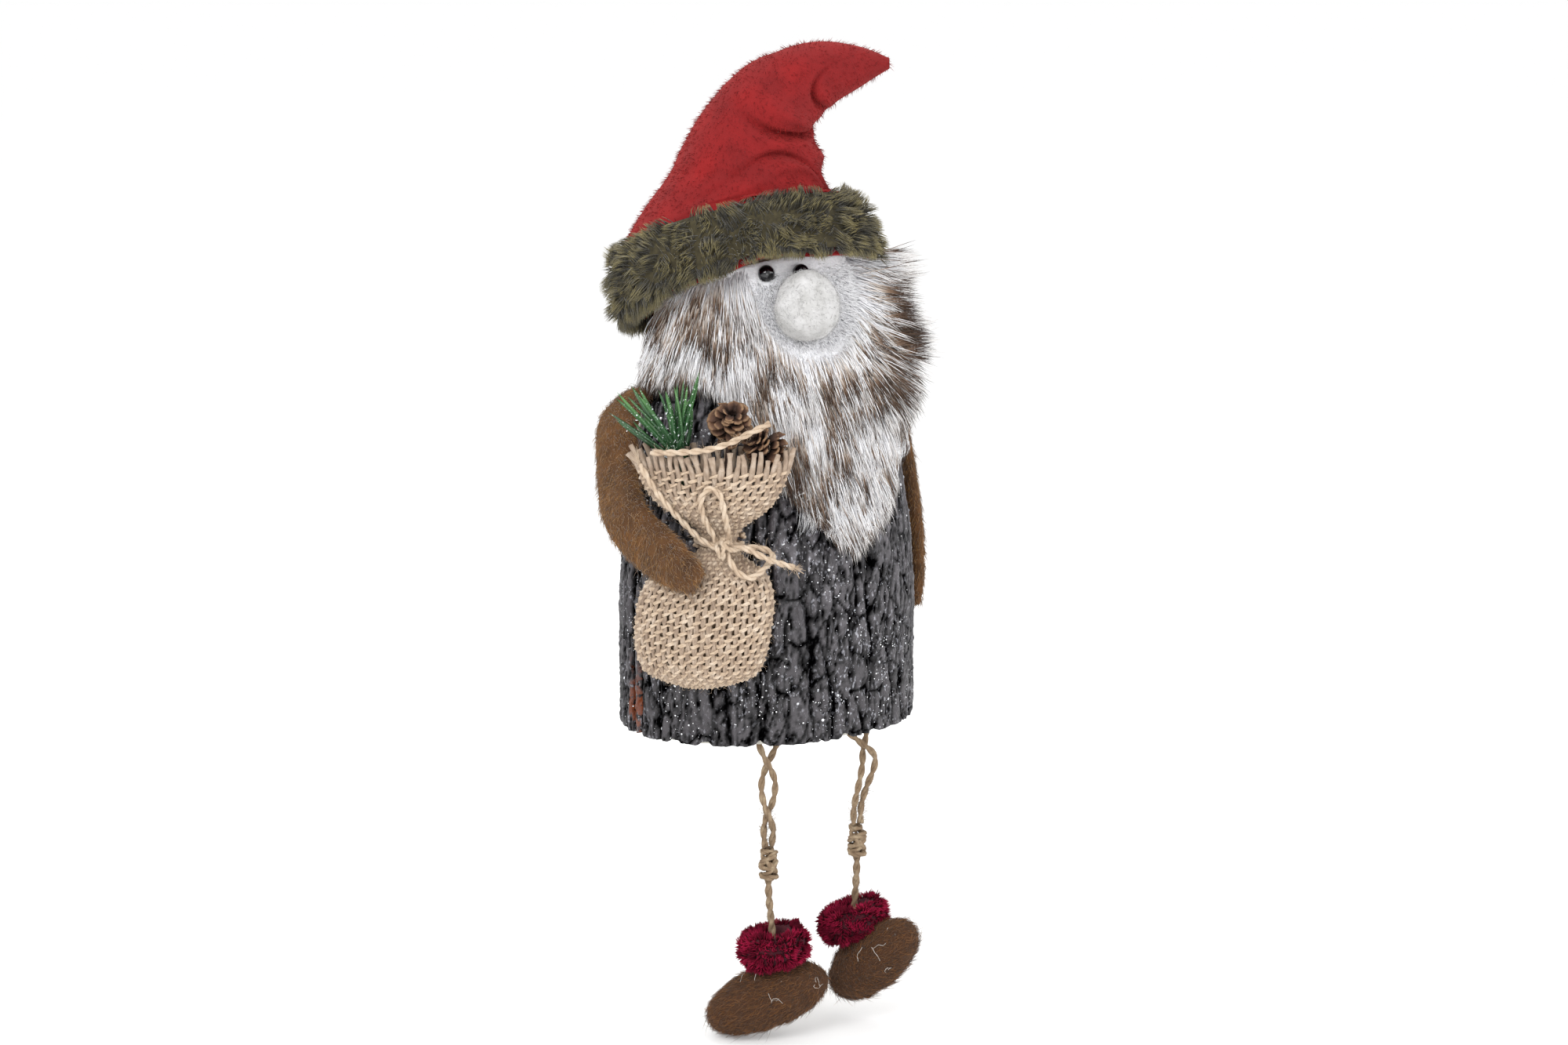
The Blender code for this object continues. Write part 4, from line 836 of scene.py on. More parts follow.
seam = add(tree, "MapRange", {"Value": level, "From Min": 26 * MM, "From Max": 12 * MM})
beside = add(tree, "MapRange", {"Value": past, "From Min": 0.3 * MM, "From Max": -0.3 * MM})
flaked = add(tree, "MapRange", {"Value": grain(tree, 2.4, 3.0), "From Min": 0.44, "From Max": 0.50})
for limit in (beside, flaked):
    seam = add(tree, "Math", {0: seam, 1: limit}, operation="MULTIPLY")
# Painted shade on the gloss as well: the furrows reflect less than the plates
gloss = add(tree, "MapRange", {"Value": high, "From Min": 0.35, "From Max": 0.95, "To Max": 0.65})
rough = add(tree, "Bump", {"Height": grain(tree, 1.1, 4.0, (1, 1, 1.7)), "Distance": 0.75 * MM})
fill(shader, {"Base Color": add(tree, "MixRGB", {"Fac": seam, "Color1": paint_and_shade, "Color2": "#66341F"}),
              "Specular IOR Level": gloss, "Normal": rough})
dress(bark, "figure", BARK, ["bark_wrap"])
print("bark:", len(bark.data.polygons), "faces")

# %% [markdown]
# The glitter is small round foil flakes, glued on where the paint was wet. They lie flat on the ridges,
# some singly and many in drifts, and a few are large.

# %% Glitter


def flake_shape(sides=6):
    bm = bmesh.new()
    bmesh.ops.create_cone(bm, cap_ends=True, cap_tris=True, segments=sides, radius1=1, radius2=0.7,
                          depth=0.35)
    return as_arrays(bm)


def scatter(name, shape, spots, normals, sizes, seed=0, **notes):
    """Copies of a small shape, laid on a surface."""
    rng = np.random.default_rng(seed)
    points, triangles = shape
    side = unit(np.cross(normals, rng.normal(size=normals.shape)))
    other = np.cross(normals, side)
    sizes = np.asarray(sizes)[:, None, None]
    placed = spots[:, None] + sizes * (
        side[:, None] * points[None, :, 0:1] + other[:, None] * points[None, :, 1:2]
        + normals[:, None] * points[None, :, 2:3])
    extra = {key: np.asarray(values)[:, None] for key, values in notes.items()}
    return copies(name, placed, triangles, extra)


# Silvered foil: half metallic, so that some flakes flash white and others stay grey
FOIL, tree, shader = new_finish("silver_foil_glitter", 0.35, Metallic=0.45)
tint = add(tree, "Attribute", out="Fac", attribute_name="tint")
stops = ((0.0, "#9DA0A8"), (0.5, "#E8EAEE"), (1.0, "#FFFFFF"))
fill(shader, {"Base Color": add(tree, "ValToRGB", {"Fac": tint}, stops)})

spots, normals = roots_on(bark, 11000, 11)
drift = cloud(spots, 14, 2.0) + 0.5 * cloud(spots, 5, 4.0)
rng = np.random.default_rng(12)
kept = (drift + rng.normal(size=len(spots)) * 0.30 > 0.16) & (spots[:, 2] > 1 * MM)
spots, normals = spots[kept], normals[kept]
sizes = rng.choice([0.12, 0.20, 0.32, 0.55], len(spots), p=[0.46, 0.36, 0.15, 0.03]) * MM
flakes = scatter("bark_glitter", flake_shape(), spots + normals * 0.06 * MM, normals, sizes, 13,
                 tint=rng.random(len(spots)))
dress(flakes, "figure", FOIL)
print("glitter flakes:", len(spots))

# %% [markdown]
# The hat is short red plush, sewn to a cone and stuffed, and it droops to the figurine's left. Its outline
# is a run of sections from the hem to the tip. The stuffing leaves folds on the inside of the bend: one
# deep crease under the droop with a soft lobe over it, and finer wrinkles above the brim.

# %% Hat
BRIM_MIDDLE = Vector((-7, 4, 149)) * MM
BRIM_HEIGHT = 21 * MM
BRIM_NORMAL = Vector((math.tan(math.radians(-4.0)), math.tan(math.radians(20.2)), 1)).normalized()
HAT_HALF_WIDTH, HAT_HALF_DEPTH = 39.5 * MM, 33.5 * MM
HAT_RISE, HAT_REACH, HAT_TIP = 59 * MM, 46 * MM, 1.6 * MM
LEAN = Vector((math.sin(math.radians(62)), -math.cos(math.radians(62)), 0))
ACROSS_LEAN = Vector((LEAN.y, -LEAN.x, 0))


def hat_sections():
    rows = [(BRIM_MIDDLE + BRIM_NORMAL * BRIM_HEIGHT * h, BRIM_NORMAL, HAT_HALF_WIDTH * s, HAT_HALF_DEPTH * s)
            for h, s in ((-0.53, 1.0), (0.0, 0.98), (0.5, 0.89))]
    for rise, reach, tip, width, depth in ((0.36, 0.03, 2, 0.645, 0.73), (0.56, 0.065, 8, 0.515, 0.61),
                                           (0.75, 0.175, 26, 0.41, 0.51), (0.89, 0.36, 48, 0.315, 0.42),
                                           (0.955, 0.56, 68, 0.25, 0.33), (0.99, 0.79, 80, 0.16, 0.20)):
        angle = math.radians(tip)
        rows.append((BRIM_MIDDLE + UP * HAT_RISE * rise + LEAN * HAT_REACH * reach,
                     UP * math.cos(angle) + LEAN * math.sin(angle), HAT_HALF_WIDTH * width,
                     HAT_HALF_DEPTH * depth))
    rows.append((BRIM_MIDDLE + UP * HAT_RISE + LEAN * HAT_REACH, LEAN, HAT_TIP, HAT_TIP))
    return rows


HAT_SECTIONS = hat_sections()
EYE_ACROSS, HEM_LIFT = 1.0 * MM, 2.6 * MM


def hem_rise(spot):
    """The hem is pushed up a little over the eyes: how far it rises at this place."""
    away = (spot.dot(RIGHT) - EYE_ACROSS) / (10 * MM)
    level = (spot - BRIM_MIDDLE).dot(BRIM_NORMAL) / (BRIM_HEIGHT / 2)
    return HEM_LIFT * math.exp(-away * away) * float(smoothstep(-level)) if spot.y < 0 else 0.0


# Each fold: its place along the hat, slant, curl, width, depth in mm, middle angle and reach
HAT_FOLDS = ((0.522, 0.04, 0.05, 0.012, 5.2, 2.20, 0.80), (0.590, 0.03, 0.02, 0.036, -3.6, 2.10, 0.80),
             (0.492, 0.04, 0.05, 0.020, -1.0, 2.20, 0.75), (0.450, 0.00, -0.14, 0.010, 3.2, 2.10, 0.70),
             (0.420, 0.00, -0.14, 0.022, -1.9, 2.30, 0.85), (0.380, 0.01, 0.00, 0.014, 0.8, 1.20, 0.80),
             (0.690, -0.02, 0.10, 0.013, 2.9, 2.30, 0.75), (0.745, 0.00, 0.00, 0.022, -0.9, 2.50, 0.50),
             (0.700, -0.03, 0.00, 0.030, 0.6, 5.60, 0.80), (0.480, 0.05, 0.00, 0.030, 0.7, 4.60, 1.00),
             (0.455, 0.00, 0.00, 0.050, -2.6, 3.14, 0.70))


def hat_point(share, angle, folds=1.0):
    middle, normal, half_width, half_depth = (
        curve_value([section[i] for section in HAT_SECTIONS], share) for i in range(4))
    normal = normal.normalized()
    depth_way = (ACROSS_LEAN - normal * ACROSS_LEAN.dot(normal)).normalized()
    width_way = depth_way.cross(normal)
    under = max(0.0, -math.cos(angle)) ** 2
    fold = math.exp(-((share - 0.615) / 0.035) ** 2)
    half_width *= 1 - 0.14 * under * fold
    outward = width_way * math.cos(angle) + depth_way * math.sin(angle)
    spot = (middle + width_way * math.cos(angle) * max(half_width, HAT_TIP / 3)
            + depth_way * math.sin(angle) * max(half_depth, HAT_TIP / 3))
    move = 0.0
    for place, slant, curl, width, depth, centre, reach in HAT_FOLDS:
        off = (angle - centre + math.pi) % (2 * math.pi) - math.pi
        fold_line = place + slant * off + curl * off * off
        move -= depth * math.exp(-((share - fold_line) / width) ** 2 - (off / reach) ** 2)
    soft = noise.noise(spot / (13 * MM)) * 0.7 + noise.noise(spot / (5 * MM)) * 0.22
    size = min(1.0, half_width / (10 * MM))
    spot = spot + outward * (move * folds + soft) * size * MM
    return spot + BRIM_NORMAL * hem_rise(spot)


def bent_cylinder(levels, sides, place):
    """A cylinder with loop cuts, whose points place(share, angle) moves."""
    bm = bmesh.new()
    bmesh.ops.create_cone(bm, cap_ends=True, segments=sides, radius1=1, radius2=1, depth=1)
    uprights = [e for e in bm.edges if abs(e.verts[0].co.z - e.verts[1].co.z) > 0.5]
    bmesh.ops.subdivide_edges(bm, edges=uprights, cuts=levels - 2, use_grid_fill=True)
    lids = [f for f in bm.faces if abs(f.normal.z) > 0.5]
    for v in bm.verts:
        v.co = place(v.co.z + 0.5, math.atan2(v.co.y, v.co.x))
    bmesh.ops.recalc_face_normals(bm, faces=bm.faces)
    if bm.calc_volume(signed=True) < 0:
        bmesh.ops.reverse_faces(bm, faces=bm.faces)
    return bm, lids


bm, lids = bent_cylinder(150, 120, hat_point)
foot = min(lids, key=lambda f: f.calc_center_median().z)
bmesh.ops.delete(bm, geom=[foot], context="FACES_ONLY")
hat = from_bmesh("red_plush_hat", bm)
wall = hat.modifiers.new("cloth", "SOLIDIFY")
wall.thickness = 1.1 * MM
wall.offset = -1.0
# Short polyester plush: a matt warm red that glows at the edges, and is brighter where the pile is brushed
PLUSH = felted("red_polyester_plush", "#7C070A", "#660508", (0.35, 2.0), (0.4, 2.0, 0.16), "#D8301C",
               (12, 3.0, "#880B0D"), Sheen_Weight=0.2)
dress(hat, "figure", PLUSH, ["hat_shell"])

spots, normals = roots_on(hat, 10200, 21, lambda p, n: (p[:, 2] > 140 * MM).astype(float))
comb = unit(np.array([0.15, -0.1, -1.0]) - normals * (normals @ np.array([0.15, -0.1, -1.0]))[:, None])
rng = np.random.default_rng(22)
tips = spots + (normals * 0.75 + comb * 0.7 + rng.normal(size=spots.shape) * 0.25) * (
    rng.uniform(0.7, 1.7, len(spots))[:, None] * MM)
# The plush's cut pile: a fuzz in two reds that softens the outline
NAP = hair("red_plush_pile", 1.0, "#74070A", "#9A120F")
pile = grow("hat_pile", spots - normals * 0.1 * MM, tips, 0.18 * MM, cuts=1, seed=23,
            tint=rng.random(len(spots)))
dress(pile, "figure", NAP)
stuffing = solid_copy("hat_stuffing", "hat_wadding", 1, inset=2.2 * MM)
dress(stuffing, "figure", FOAM, ["hat_stuffing"])
print("hat:", len(hat.data.polygons), "faces,", len(spots), "hairs")

# %% [markdown]
# A band of olive fake fur is sewn round the hat's foot. Fake fur is cut from a woven backing, and its hairs
# lean together in tufts. The backing is the solid's ring, drawn in, and the hairs start inside it, so that
# their tips come out about where the solid's face lies.

# %% Fur brim
# Woven fur backing: a dark olive that is painted shade, seen only as depth between the tufts
FUR_BACKING = wandering("fur_backing", 0.95, 1.5, 2.0, ((0.3, "#2B2616"), (0.7, "#453E28")))
band = solid_copy("hat_brim", "brim_backing", 1, inset=1.2 * MM)
for v in band.data.vertices:
    v.co += BRIM_NORMAL * hem_rise(v.co)
dress(band, "figure", FUR_BACKING, ["hat_brim"])

# Acrylic fake fur: olive, darkened to almost black at the root as painted shade between the tufts, and a
# straw tip that is partly painted highlight; a silky light runs along the hairs
OLIVE = hair("olive_fake_fur", 0.7, ((0.0, "#0E0C04"), (0.5, "#383218"), (1.0, "#A19461")), "#1F1B0C",
             Sheen_Weight=0.25)
# The places across the picture, in mm, where the fur parts at the hem
PARTINGS = (-7.6, 20.0)


def brim_fur(name, count, seed, reach, width):
    roots, normals = roots_on(NODES["hat_brim"], count, seed)
    roots = roots + np.outer([hem_rise(Vector(p)) for p in roots], BRIM_NORMAL)
    outward = roots - np.array(BRIM_MIDDLE)
    height = outward @ np.array(BRIM_NORMAL)
    outward = unit(outward - height[:, None] * np.array(BRIM_NORMAL))
    facing = (normals * outward).sum(axis=1)
    kept = facing > -0.25
    roots, normals, outward, height = (a[kept] for a in (roots, normals, outward, height))
    rng = np.random.default_rng(seed)
    stroke = np.stack([cloud(roots, 9, seed + k) for k in range(3)], axis=1)
    level = height / (BRIM_HEIGHT / 2)
    comb = np.array(BRIM_NORMAL)[None] * (0.70 * level - 0.32)[:, None]
    way = unit(normals * 0.55 + outward * 0.30 + comb * 0.75 + stroke * 0.95
               + rng.normal(size=roots.shape) * 0.16)
    beside = np.abs((roots @ np.array(RIGHT))[:, None] / MM - np.array([PARTINGS])).min(axis=1)
    thin = (beside < 2.8) & (level < -0.35) & (rng.random(len(roots)) < 0.65)
    roots, normals, way = roots[~thin], normals[~thin], way[~thin]
    roots = roots - normals * 2.6 * MM
    level = (roots - np.array(BRIM_MIDDLE)) @ np.array(BRIM_NORMAL) / (BRIM_HEIGHT / 2)
    length = reach * rng.uniform(0.75, 1.12, len(roots)) * (1 - 0.34 * smoothstep((level - 0.4) / 0.5))
    tips = roots + way * length[:, None] * MM
    tips = clumped(roots, tips, max(60, len(roots) // 34), 0.62, seed + 1)[0]
    tint = np.clip(0.35 + 0.9 * cloud(roots, 6, 5.0) + rng.normal(size=len(roots)) * 0.15, 0, 1)
    droop = way * 0 + np.array([0, 0, 0.35 * MM])
    fur = grow(name, roots, tips, width * MM, droop, seed=seed + 2, tint=tint)
    dress(fur, "figure", OLIVE)
    return len(roots)


def hem_fur(name, count, seed):
    """Short fur that hangs over the hem, further on the figure's right, and parts in two places."""
    rng = np.random.default_rng(seed)
    roots, tips = [], []
    down = -BRIM_NORMAL
    for angle in rng.uniform(0, 2 * math.pi, count):
        edge = hat_point(0.0, angle, folds=0.0)
        across = edge.dot(RIGHT) / MM
        if min(abs(across - place) for place in PARTINGS) < 2.6 and edge.y < 0 and rng.random() < 0.75:
            continue
        outward = (edge - BRIM_MIDDLE - BRIM_NORMAL * (edge - BRIM_MIDDLE).dot(BRIM_NORMAL)).normalized()
        far = float(smoothstep((-across - 28) / 8))
        hang = rng.uniform(0.5, 1.7) + 3.4 * float(smoothstep((-across - 20) / 16)) * rng.uniform(0.4, 1.0)
        hang += 2.4 * far * rng.random()
        root = edge - down * rng.uniform(1.0, 4.0) * MM + outward * rng.uniform(0.2 - 2.2 * far, 2.6) * MM
        slip = rng.normal(size=3) * 0.6 * MM
        roots.append(tuple(root))
        tips.append(tuple(edge + down * hang * MM + outward * rng.uniform(-1.0, 3.6) * MM + Vector(slip)))
    roots, tips = np.array(roots), np.array(tips)
    tips = clumped(roots, tips, len(roots) // 26, 0.5, seed + 1)[0]
    tint = np.clip(0.35 + 0.9 * cloud(roots, 6, 5.0), 0, 1)
    droop = np.zeros_like(roots) - np.array(down)[None] * 0.4 * MM
    fur = grow(name, roots, tips, 0.45 * MM, droop, seed=seed + 2, tint=tint)
    dress(fur, "figure", OLIVE)
    return len(roots)


print("hem hairs:", hem_fur("brim_fur_hem", 5800, 45))
hairs = brim_fur("brim_fur_long", 13000, 31, 6.8, 0.36) + brim_fur("brim_fur_short", 6500, 41, 5.2, 0.44)
print("brim hairs:", hairs)

# %% [markdown]
# The face is a patch of short white pile. It lies on the beard's own cloth, one sheet that is laid a little
# over the bark and runs up under the hat's hem, and the long hairs grow from that sheet.

# %% Face and beard backing


def hem_level(turn):
    """The height of the hat's hem over the log at this turn."""
    spot = on_log(turn, 149 * MM, 3.4 * MM)
    edge = BRIM_MIDDLE - BRIM_NORMAL * (BRIM_HEIGHT / 2 + 0.9 * MM)
    return edge.z - ((spot - edge).x * BRIM_NORMAL.x + (spot - edge).y * BRIM_NORMAL.y) / BRIM_NORMAL.z


# The height and the turn of the beard's point, and the turns that the beard runs between
BEARD_TIP, TIP_TURN = 60 * MM, 9
BEARD_FROM, BEARD_TO = -107, 63


def beard_floor(turn):
    """The fur cloth's lower edge."""
    side, spread = (86 * MM, 38.0) if turn > TIP_TURN else (111 * MM, 62.0)
    return BEARD_TIP + (side - BEARD_TIP) * float(smoothstep(abs(turn - TIP_TURN) / spread))


def point_floor(turn):
    """Where the hairs end: the beard is cut to a point."""
    side, spread = (88 * MM, 40.0) if turn > TIP_TURN else (108 * MM, 60.0)
    slope = min(1.0, abs(turn - TIP_TURN) / spread) ** 0.9
    return max(beard_floor(turn), BEARD_TIP + (side - BEARD_TIP) * slope)


def hair_line(turn):
    """Where the long hair begins: round the face, and past it under the hat's hem."""
    aside = abs(turn - 1.0) / 38.0
    return 121 * MM + (hem_level(turn) + 3 * MM - 121 * MM) * min(1.0, aside ** 2.6)


# White fake fur: cool at the root and bright at the tip, with a few locks of a dingy grey
WHITE_FUR = hair("white_fake_fur", 0.8, ((0.0, "#E6E6EA"), (0.5, "#F3F3F5"), (1.0, "#FBFBFD")), "#C4BDB8",
                 Sheen_Weight=0.2)
# Knitted short pile: matt white and a little nubbly
WHITE_CLOTH = wandering("white_short_pile", 0.95, 0.9, 2.0, ((0.3, "#E8E8EC"), (0.7, "#F5F5F7")),
                        (0.6, 2.0, 0.2), Sheen_Weight=0.2)

bm = bmesh.new()
bmesh.ops.create_grid(bm, x_segments=70, y_segments=36, size=0.5)
for v in bm.verts:
    turn = BEARD_FROM + (v.co.x + 0.5) * (BEARD_TO - BEARD_FROM)
    low, high = beard_floor(turn) + 5 * MM, hem_level(turn) + 3 * MM
    edge = min(v.co.x + 0.5, 0.5 - v.co.x, v.co.y + 0.5) * 4
    v.co = on_log(turn, low + (high - low) * (v.co.y + 0.5), (0.8 + 2.0 * float(smoothstep(edge))) * MM)
flat_area = sum(face.calc_area() for face in bm.faces)
cloth = from_bmesh("beard_backing", bm)
wall = cloth.modifiers.new("cloth", "SOLIDIFY")
wall.thickness = 0.8 * MM
wall.offset = -1.0
dress(cloth, "figure", WHITE_CLOTH, ["beard_panel"])

face = solid_copy("face_patch", "face_pile_backing", 1, inset=1.0 * MM)
dress(face, "figure", WHITE_CLOTH, ["face_patch"])
roots, normals = roots_on(NODES["face_patch"], 9000, 51, lambda p, n: (n[:, 1] < 0.1).astype(float))
beads = np.array([(Vector(a) + Vector(b)) / 2 for a, b in (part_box("right_eye"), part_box("left_eye"))])
clear = np.linalg.norm(roots[:, None] - beads[None], axis=2).min(axis=1) > 3.3 * MM
roots, normals = roots[clear], normals[clear]
rng = np.random.default_rng(52)
way = unit(normals * 0.8 + np.array([0.05, 0, -0.75]) + rng.normal(size=roots.shape) * 0.3)
tips = roots + way * (rng.uniform(1.6, 3.0, len(roots)) * MM)[:, None]
pile = grow("face_pile", roots - normals * 1.2 * MM, tips, 0.26 * MM, cuts=1, seed=53,
            tint=np.clip(rng.normal(size=len(roots)) * 0.12, 0, 1))
dress(pile, "figure", WHITE_FUR)
print("face hairs:", len(roots))

# %% [markdown]
# The beard is long fake fur in two kinds of hair. White underfur covers the backing. Coarser guard hairs
# are white at the root, brown above and almost black at the tip, so the fur looks streaked wherever a
# tuft's tips lie. It is combed down in front, and on the figurine's left it stands off the log in stiff
# tufts.

# %% Beard


def turn_of(points):
    return np.degrees(np.arctan2(points[:, 0] / LOG_WIDTH, -points[:, 1] / LOG_DEPTH))


def beard_hairs(name, count, seed, reach, width, tuft, pull, material, shade):
    """Hairs combed over the beard's panel; shade(roots, led) gives how brown each is."""
    rng = np.random.default_rng(seed)
    turn = rng.uniform(BEARD_FROM, BEARD_TO, count * 2)
    z = rng.uniform(60, 156, count * 2) * MM
    floor_z = np.array([beard_floor(t) for t in turn])
    top = np.array([min(hem_level(t) + 3 * MM, hair_line(t)) for t in turn])
    kept = (z > floor_z + 3 * MM) & (z < top)
    turn, z, floor_z = turn[kept][:count], z[kept][:count], floor_z[kept][:count]
    roots = np.array([tuple(on_log(t, h, 2.2 * MM)) for t, h in zip(turn, z)])
    angle = np.radians(turn)
    normal = unit(np.stack([np.sin(angle) / LOG_WIDTH, -np.cos(angle) / LOG_DEPTH, 0 * angle], axis=1))
    around = np.stack([-normal[:, 1], normal[:, 0], 0 * angle], axis=1)
    wild = smoothstep((turn - 14) / 34) * smoothstep((z / MM - 100) / 22)
    close = smoothstep((turn - 24) / 24) * smoothstep((112 - z / MM) / 14)
    rising = 26 * wild * smoothstep((z / MM - 122) / 20)
    slant = np.radians(9 + 58 * wild + rising - 12 * close - 14 * smoothstep((-turn - 45) / 40))
    slant = slant + cloud(roots, 9, seed) * (0.34 + 0.45 * wild)
    lift = 0.34 + 0.65 * wild - 0.26 * close + (0.24 + 0.5 * wild - 0.12 * close) * cloud(roots, 7, seed + 3)
    down = np.array([0, 0, -1.0])
    way = unit(down * np.cos(slant)[:, None] + around * np.sin(slant)[:, None] + normal * lift[:, None]
               + rng.normal(size=roots.shape) * 0.07)
    length = reach * rng.uniform(0.72, 1.1, len(roots)) * (1 + (0.32 if reach > 12 else -0.35) * wild) * MM
    room = np.maximum(z - floor_z + (2.5 + 3.5 * rng.random(len(roots))) * MM, 5 * MM)
    length = np.minimum(length, room / np.maximum(-way[:, 2], 0.2))
    tips = roots + way * length[:, None]
    tips, led = clumped(roots, tips, tuft, pull, seed + 1)
    ragged = rng.uniform(0.0, 4.0, len(roots)) + rng.uniform(-1.5, 3.5, led.max() + 1)[led]
    ragged = ragged - (3.0 if reach < 12 else 0.0)
    floor_tip = np.array([point_floor(t) for t in turn_of(tips)]) - ragged * MM
    tips[:, 2] = np.maximum(tips[:, 2], floor_tip)
    droop = normal * (0.9 * MM) + np.array([0, 0, 0.5 * MM]) + rng.normal(size=roots.shape) * 0.35 * MM
    fur = grow(name, roots, tips, width * MM, droop, cuts=3 if reach > 12 else 2, taper=0.42, seed=seed + 2,
               **shade(roots, led, rng))
    dress(fur, "figure", material)
    return len(roots)


# Dyed guard hair: smoother than the underfur, and either white throughout or white, then brown, then black
GUARD_HAIR, tree, shader = new_finish("brown_tipped_guard_hair", 0.6)
along = add(tree, "Attribute", out="Fac", attribute_name="along")
light = add(tree, "ValToRGB", {"Fac": along}, ((0.0, "#DDDDE1"), (0.6, "#EFEFF1"), (1.0, "#E2DBD5")))
dark = add(tree, "ValToRGB", {"Fac": along},
           ((0.0, "#DDDADB"), (0.42, "#CBBFB4"), (0.56, "#806651"), (0.72, "#4A3425"), (1.0, "#1C130E")))
brown = add(tree, "Attribute", out="Fac", attribute_name="brown")
fill(shader, {"Base Color": add(tree, "MixRGB", {"Fac": brown, "Color1": light, "Color2": dark})})


def white_shade(roots, led, rng):
    return {"tint": np.clip(0.12 + 0.3 * cloud(roots, 10, 8.0) + rng.normal(size=len(roots)) * 0.08, 0, 1)}


# Patches where the brown tips gather or are few: place across the picture, height, both reaches, strength
PATCHES = ((-19, 136, 6.5, 11, 1.1), (-30, 128, 5, 9, 0.25), (42, 138, 10, 12, 0.35),
           (38, 118, 9, 8, 0.15), (25, 114, 6, 7, 0.30), (36, 96, 9, 9, -0.35),
           (-4, 119, 7, 10, 0.30), (17, 126, 9, 6, -0.6), (-4, 140, 8, 12, -1.2), (-36, 120, 4, 12, -0.5))


def brown_shade(roots, led, rng):
    streak = np.array([noise.noise(Vector((p[0] / 0.0065, p[1] / 0.0065, p[2] / 0.017))) for p in roots])
    across, level = roots @ np.array(RIGHT) / MM, roots[:, 2] / MM - 8
    for side, height, wide, tall, strength in PATCHES:
        streak = streak + strength * np.exp(-((across - side) / wide) ** 2 - ((level - height) / tall) ** 2)
    streak = streak + rng.normal(size=led.max() + 1)[led] * 0.16
    chance = 0.12 + 0.80 * smoothstep((streak + 0.04) / 0.22)
    return {"brown": (rng.random(len(roots)) < chance).astype(float)}


total = beard_hairs("beard_underfur", 8400, 61, 11, 0.42, 900, 0.4, WHITE_FUR, white_shade)
for k, (count, reach, width) in enumerate(((6200, 15.0, 0.34), (5600, 17.5, 0.30), (6200, 13.0, 0.30))):
    total += beard_hairs(f"beard_guard_hair_{k + 1}", count, 71 + 10 * k, reach, width, 950, 0.50, GUARD_HAIR,
                         brown_shade)


def stray_hairs(name, turns, levels, count, reach, width, slant, out, material, seed, **notes):
    """Long hairs that stand away from the rest, rooted between two turns and two levels."""
    rng = np.random.default_rng(seed)
    turn, z = rng.uniform(*turns, count), rng.uniform(*levels, count) * MM
    roots = np.array([tuple(on_log(t, h, 2.2 * MM)) for t, h in zip(turn, z)])
    normal = np.array([tuple(log_normal(t)) for t in turn])
    around = np.stack([-normal[:, 1], normal[:, 0], 0 * turn], axis=1)
    angle = np.radians(rng.uniform(*slant, count))
    down = np.array([0, 0, -1.0])
    way = unit(around * np.sin(angle)[:, None] + down * np.cos(angle)[:, None] + normal * out
               + rng.normal(size=roots.shape) * 0.06)
    tips = roots + way * (reach * rng.uniform(0.75, 1.1, count))[:, None] * MM
    tips = clumped(roots, tips, count // 9, 0.75, seed + 1)[0]
    hairs = grow(name, roots, tips, width * MM, normal * 1.2 * MM, cuts=3, taper=0.4, seed=seed + 2,
                 **{key: np.full(count, value) for key, value in notes.items()})
    dress(hairs, "figure", material)


stray_hairs("beard_side_tufts", (34, 62), (116, 143), 430, 20, 0.36, (66, 106), 0.95, GUARD_HAIR, 201,
            brown=1.0)
stray_hairs("beard_lower_tufts", (42, 62), (117, 127), 260, 19, 0.34, (70, 96), 1.0, GUARD_HAIR, 205,
            brown=1.0)
stray_hairs("beard_tip_wisps", (-12, 5), (72, 82), 60, 13, 0.13, (-52, 12), 0.5, WHITE_FUR, 211, tint=0.0)
print("beard hairs:", total)

# %% [markdown]
# The nose is a ball of needle-felted wool, pear-shaped and almost white. The eyes are glossy black beads,
# pressed into the pile, with a few dark hairs at their lower edge.

# %% Nose and eyes
# Needle-felted wool: matt, off-white with faint grey clouds, and soft at the edge
WOOL = wandering("needle_felted_wool", 0.95, 5.0, 4.0,
                 ((0.3, "#ABAAA8"), (0.5, "#BBBAB9"), (0.75, "#C7C6C6")), (0.7, 3.0, 0.15), Sheen_Weight=0.25)
nose = solid_copy("nose", "wool_nose", 2)
for v in nose.data.vertices:
    v.co += v.normal * (noise.noise(v.co / (4 * MM)) * 0.45 + noise.noise(v.co / (1.5 * MM)) * 0.12) * MM
dress(nose, "figure", WOOL, ["nose"])
roots, normals = roots_on(nose, 1500, 81)
rng = np.random.default_rng(82)
lay = unit(np.cross(normals, rng.normal(size=normals.shape)))
tips = roots + (lay + normals * 0.25) * (rng.uniform(1.0, 2.6, len(roots)) * MM)[:, None]
wisps = grow("nose_wisps", roots, tips, 0.09 * MM, normals * 0.25 * MM, seed=83)
dress(wisps, "figure", WOOL)

# Polished glass bead: black, with one small sharp highlight
BEAD = wandering("polished_black_bead", 0.06, 3.0, 1.0, ((0.4, "#050507"), (0.6, "#0B0B10")), Coat_Weight=0.5)
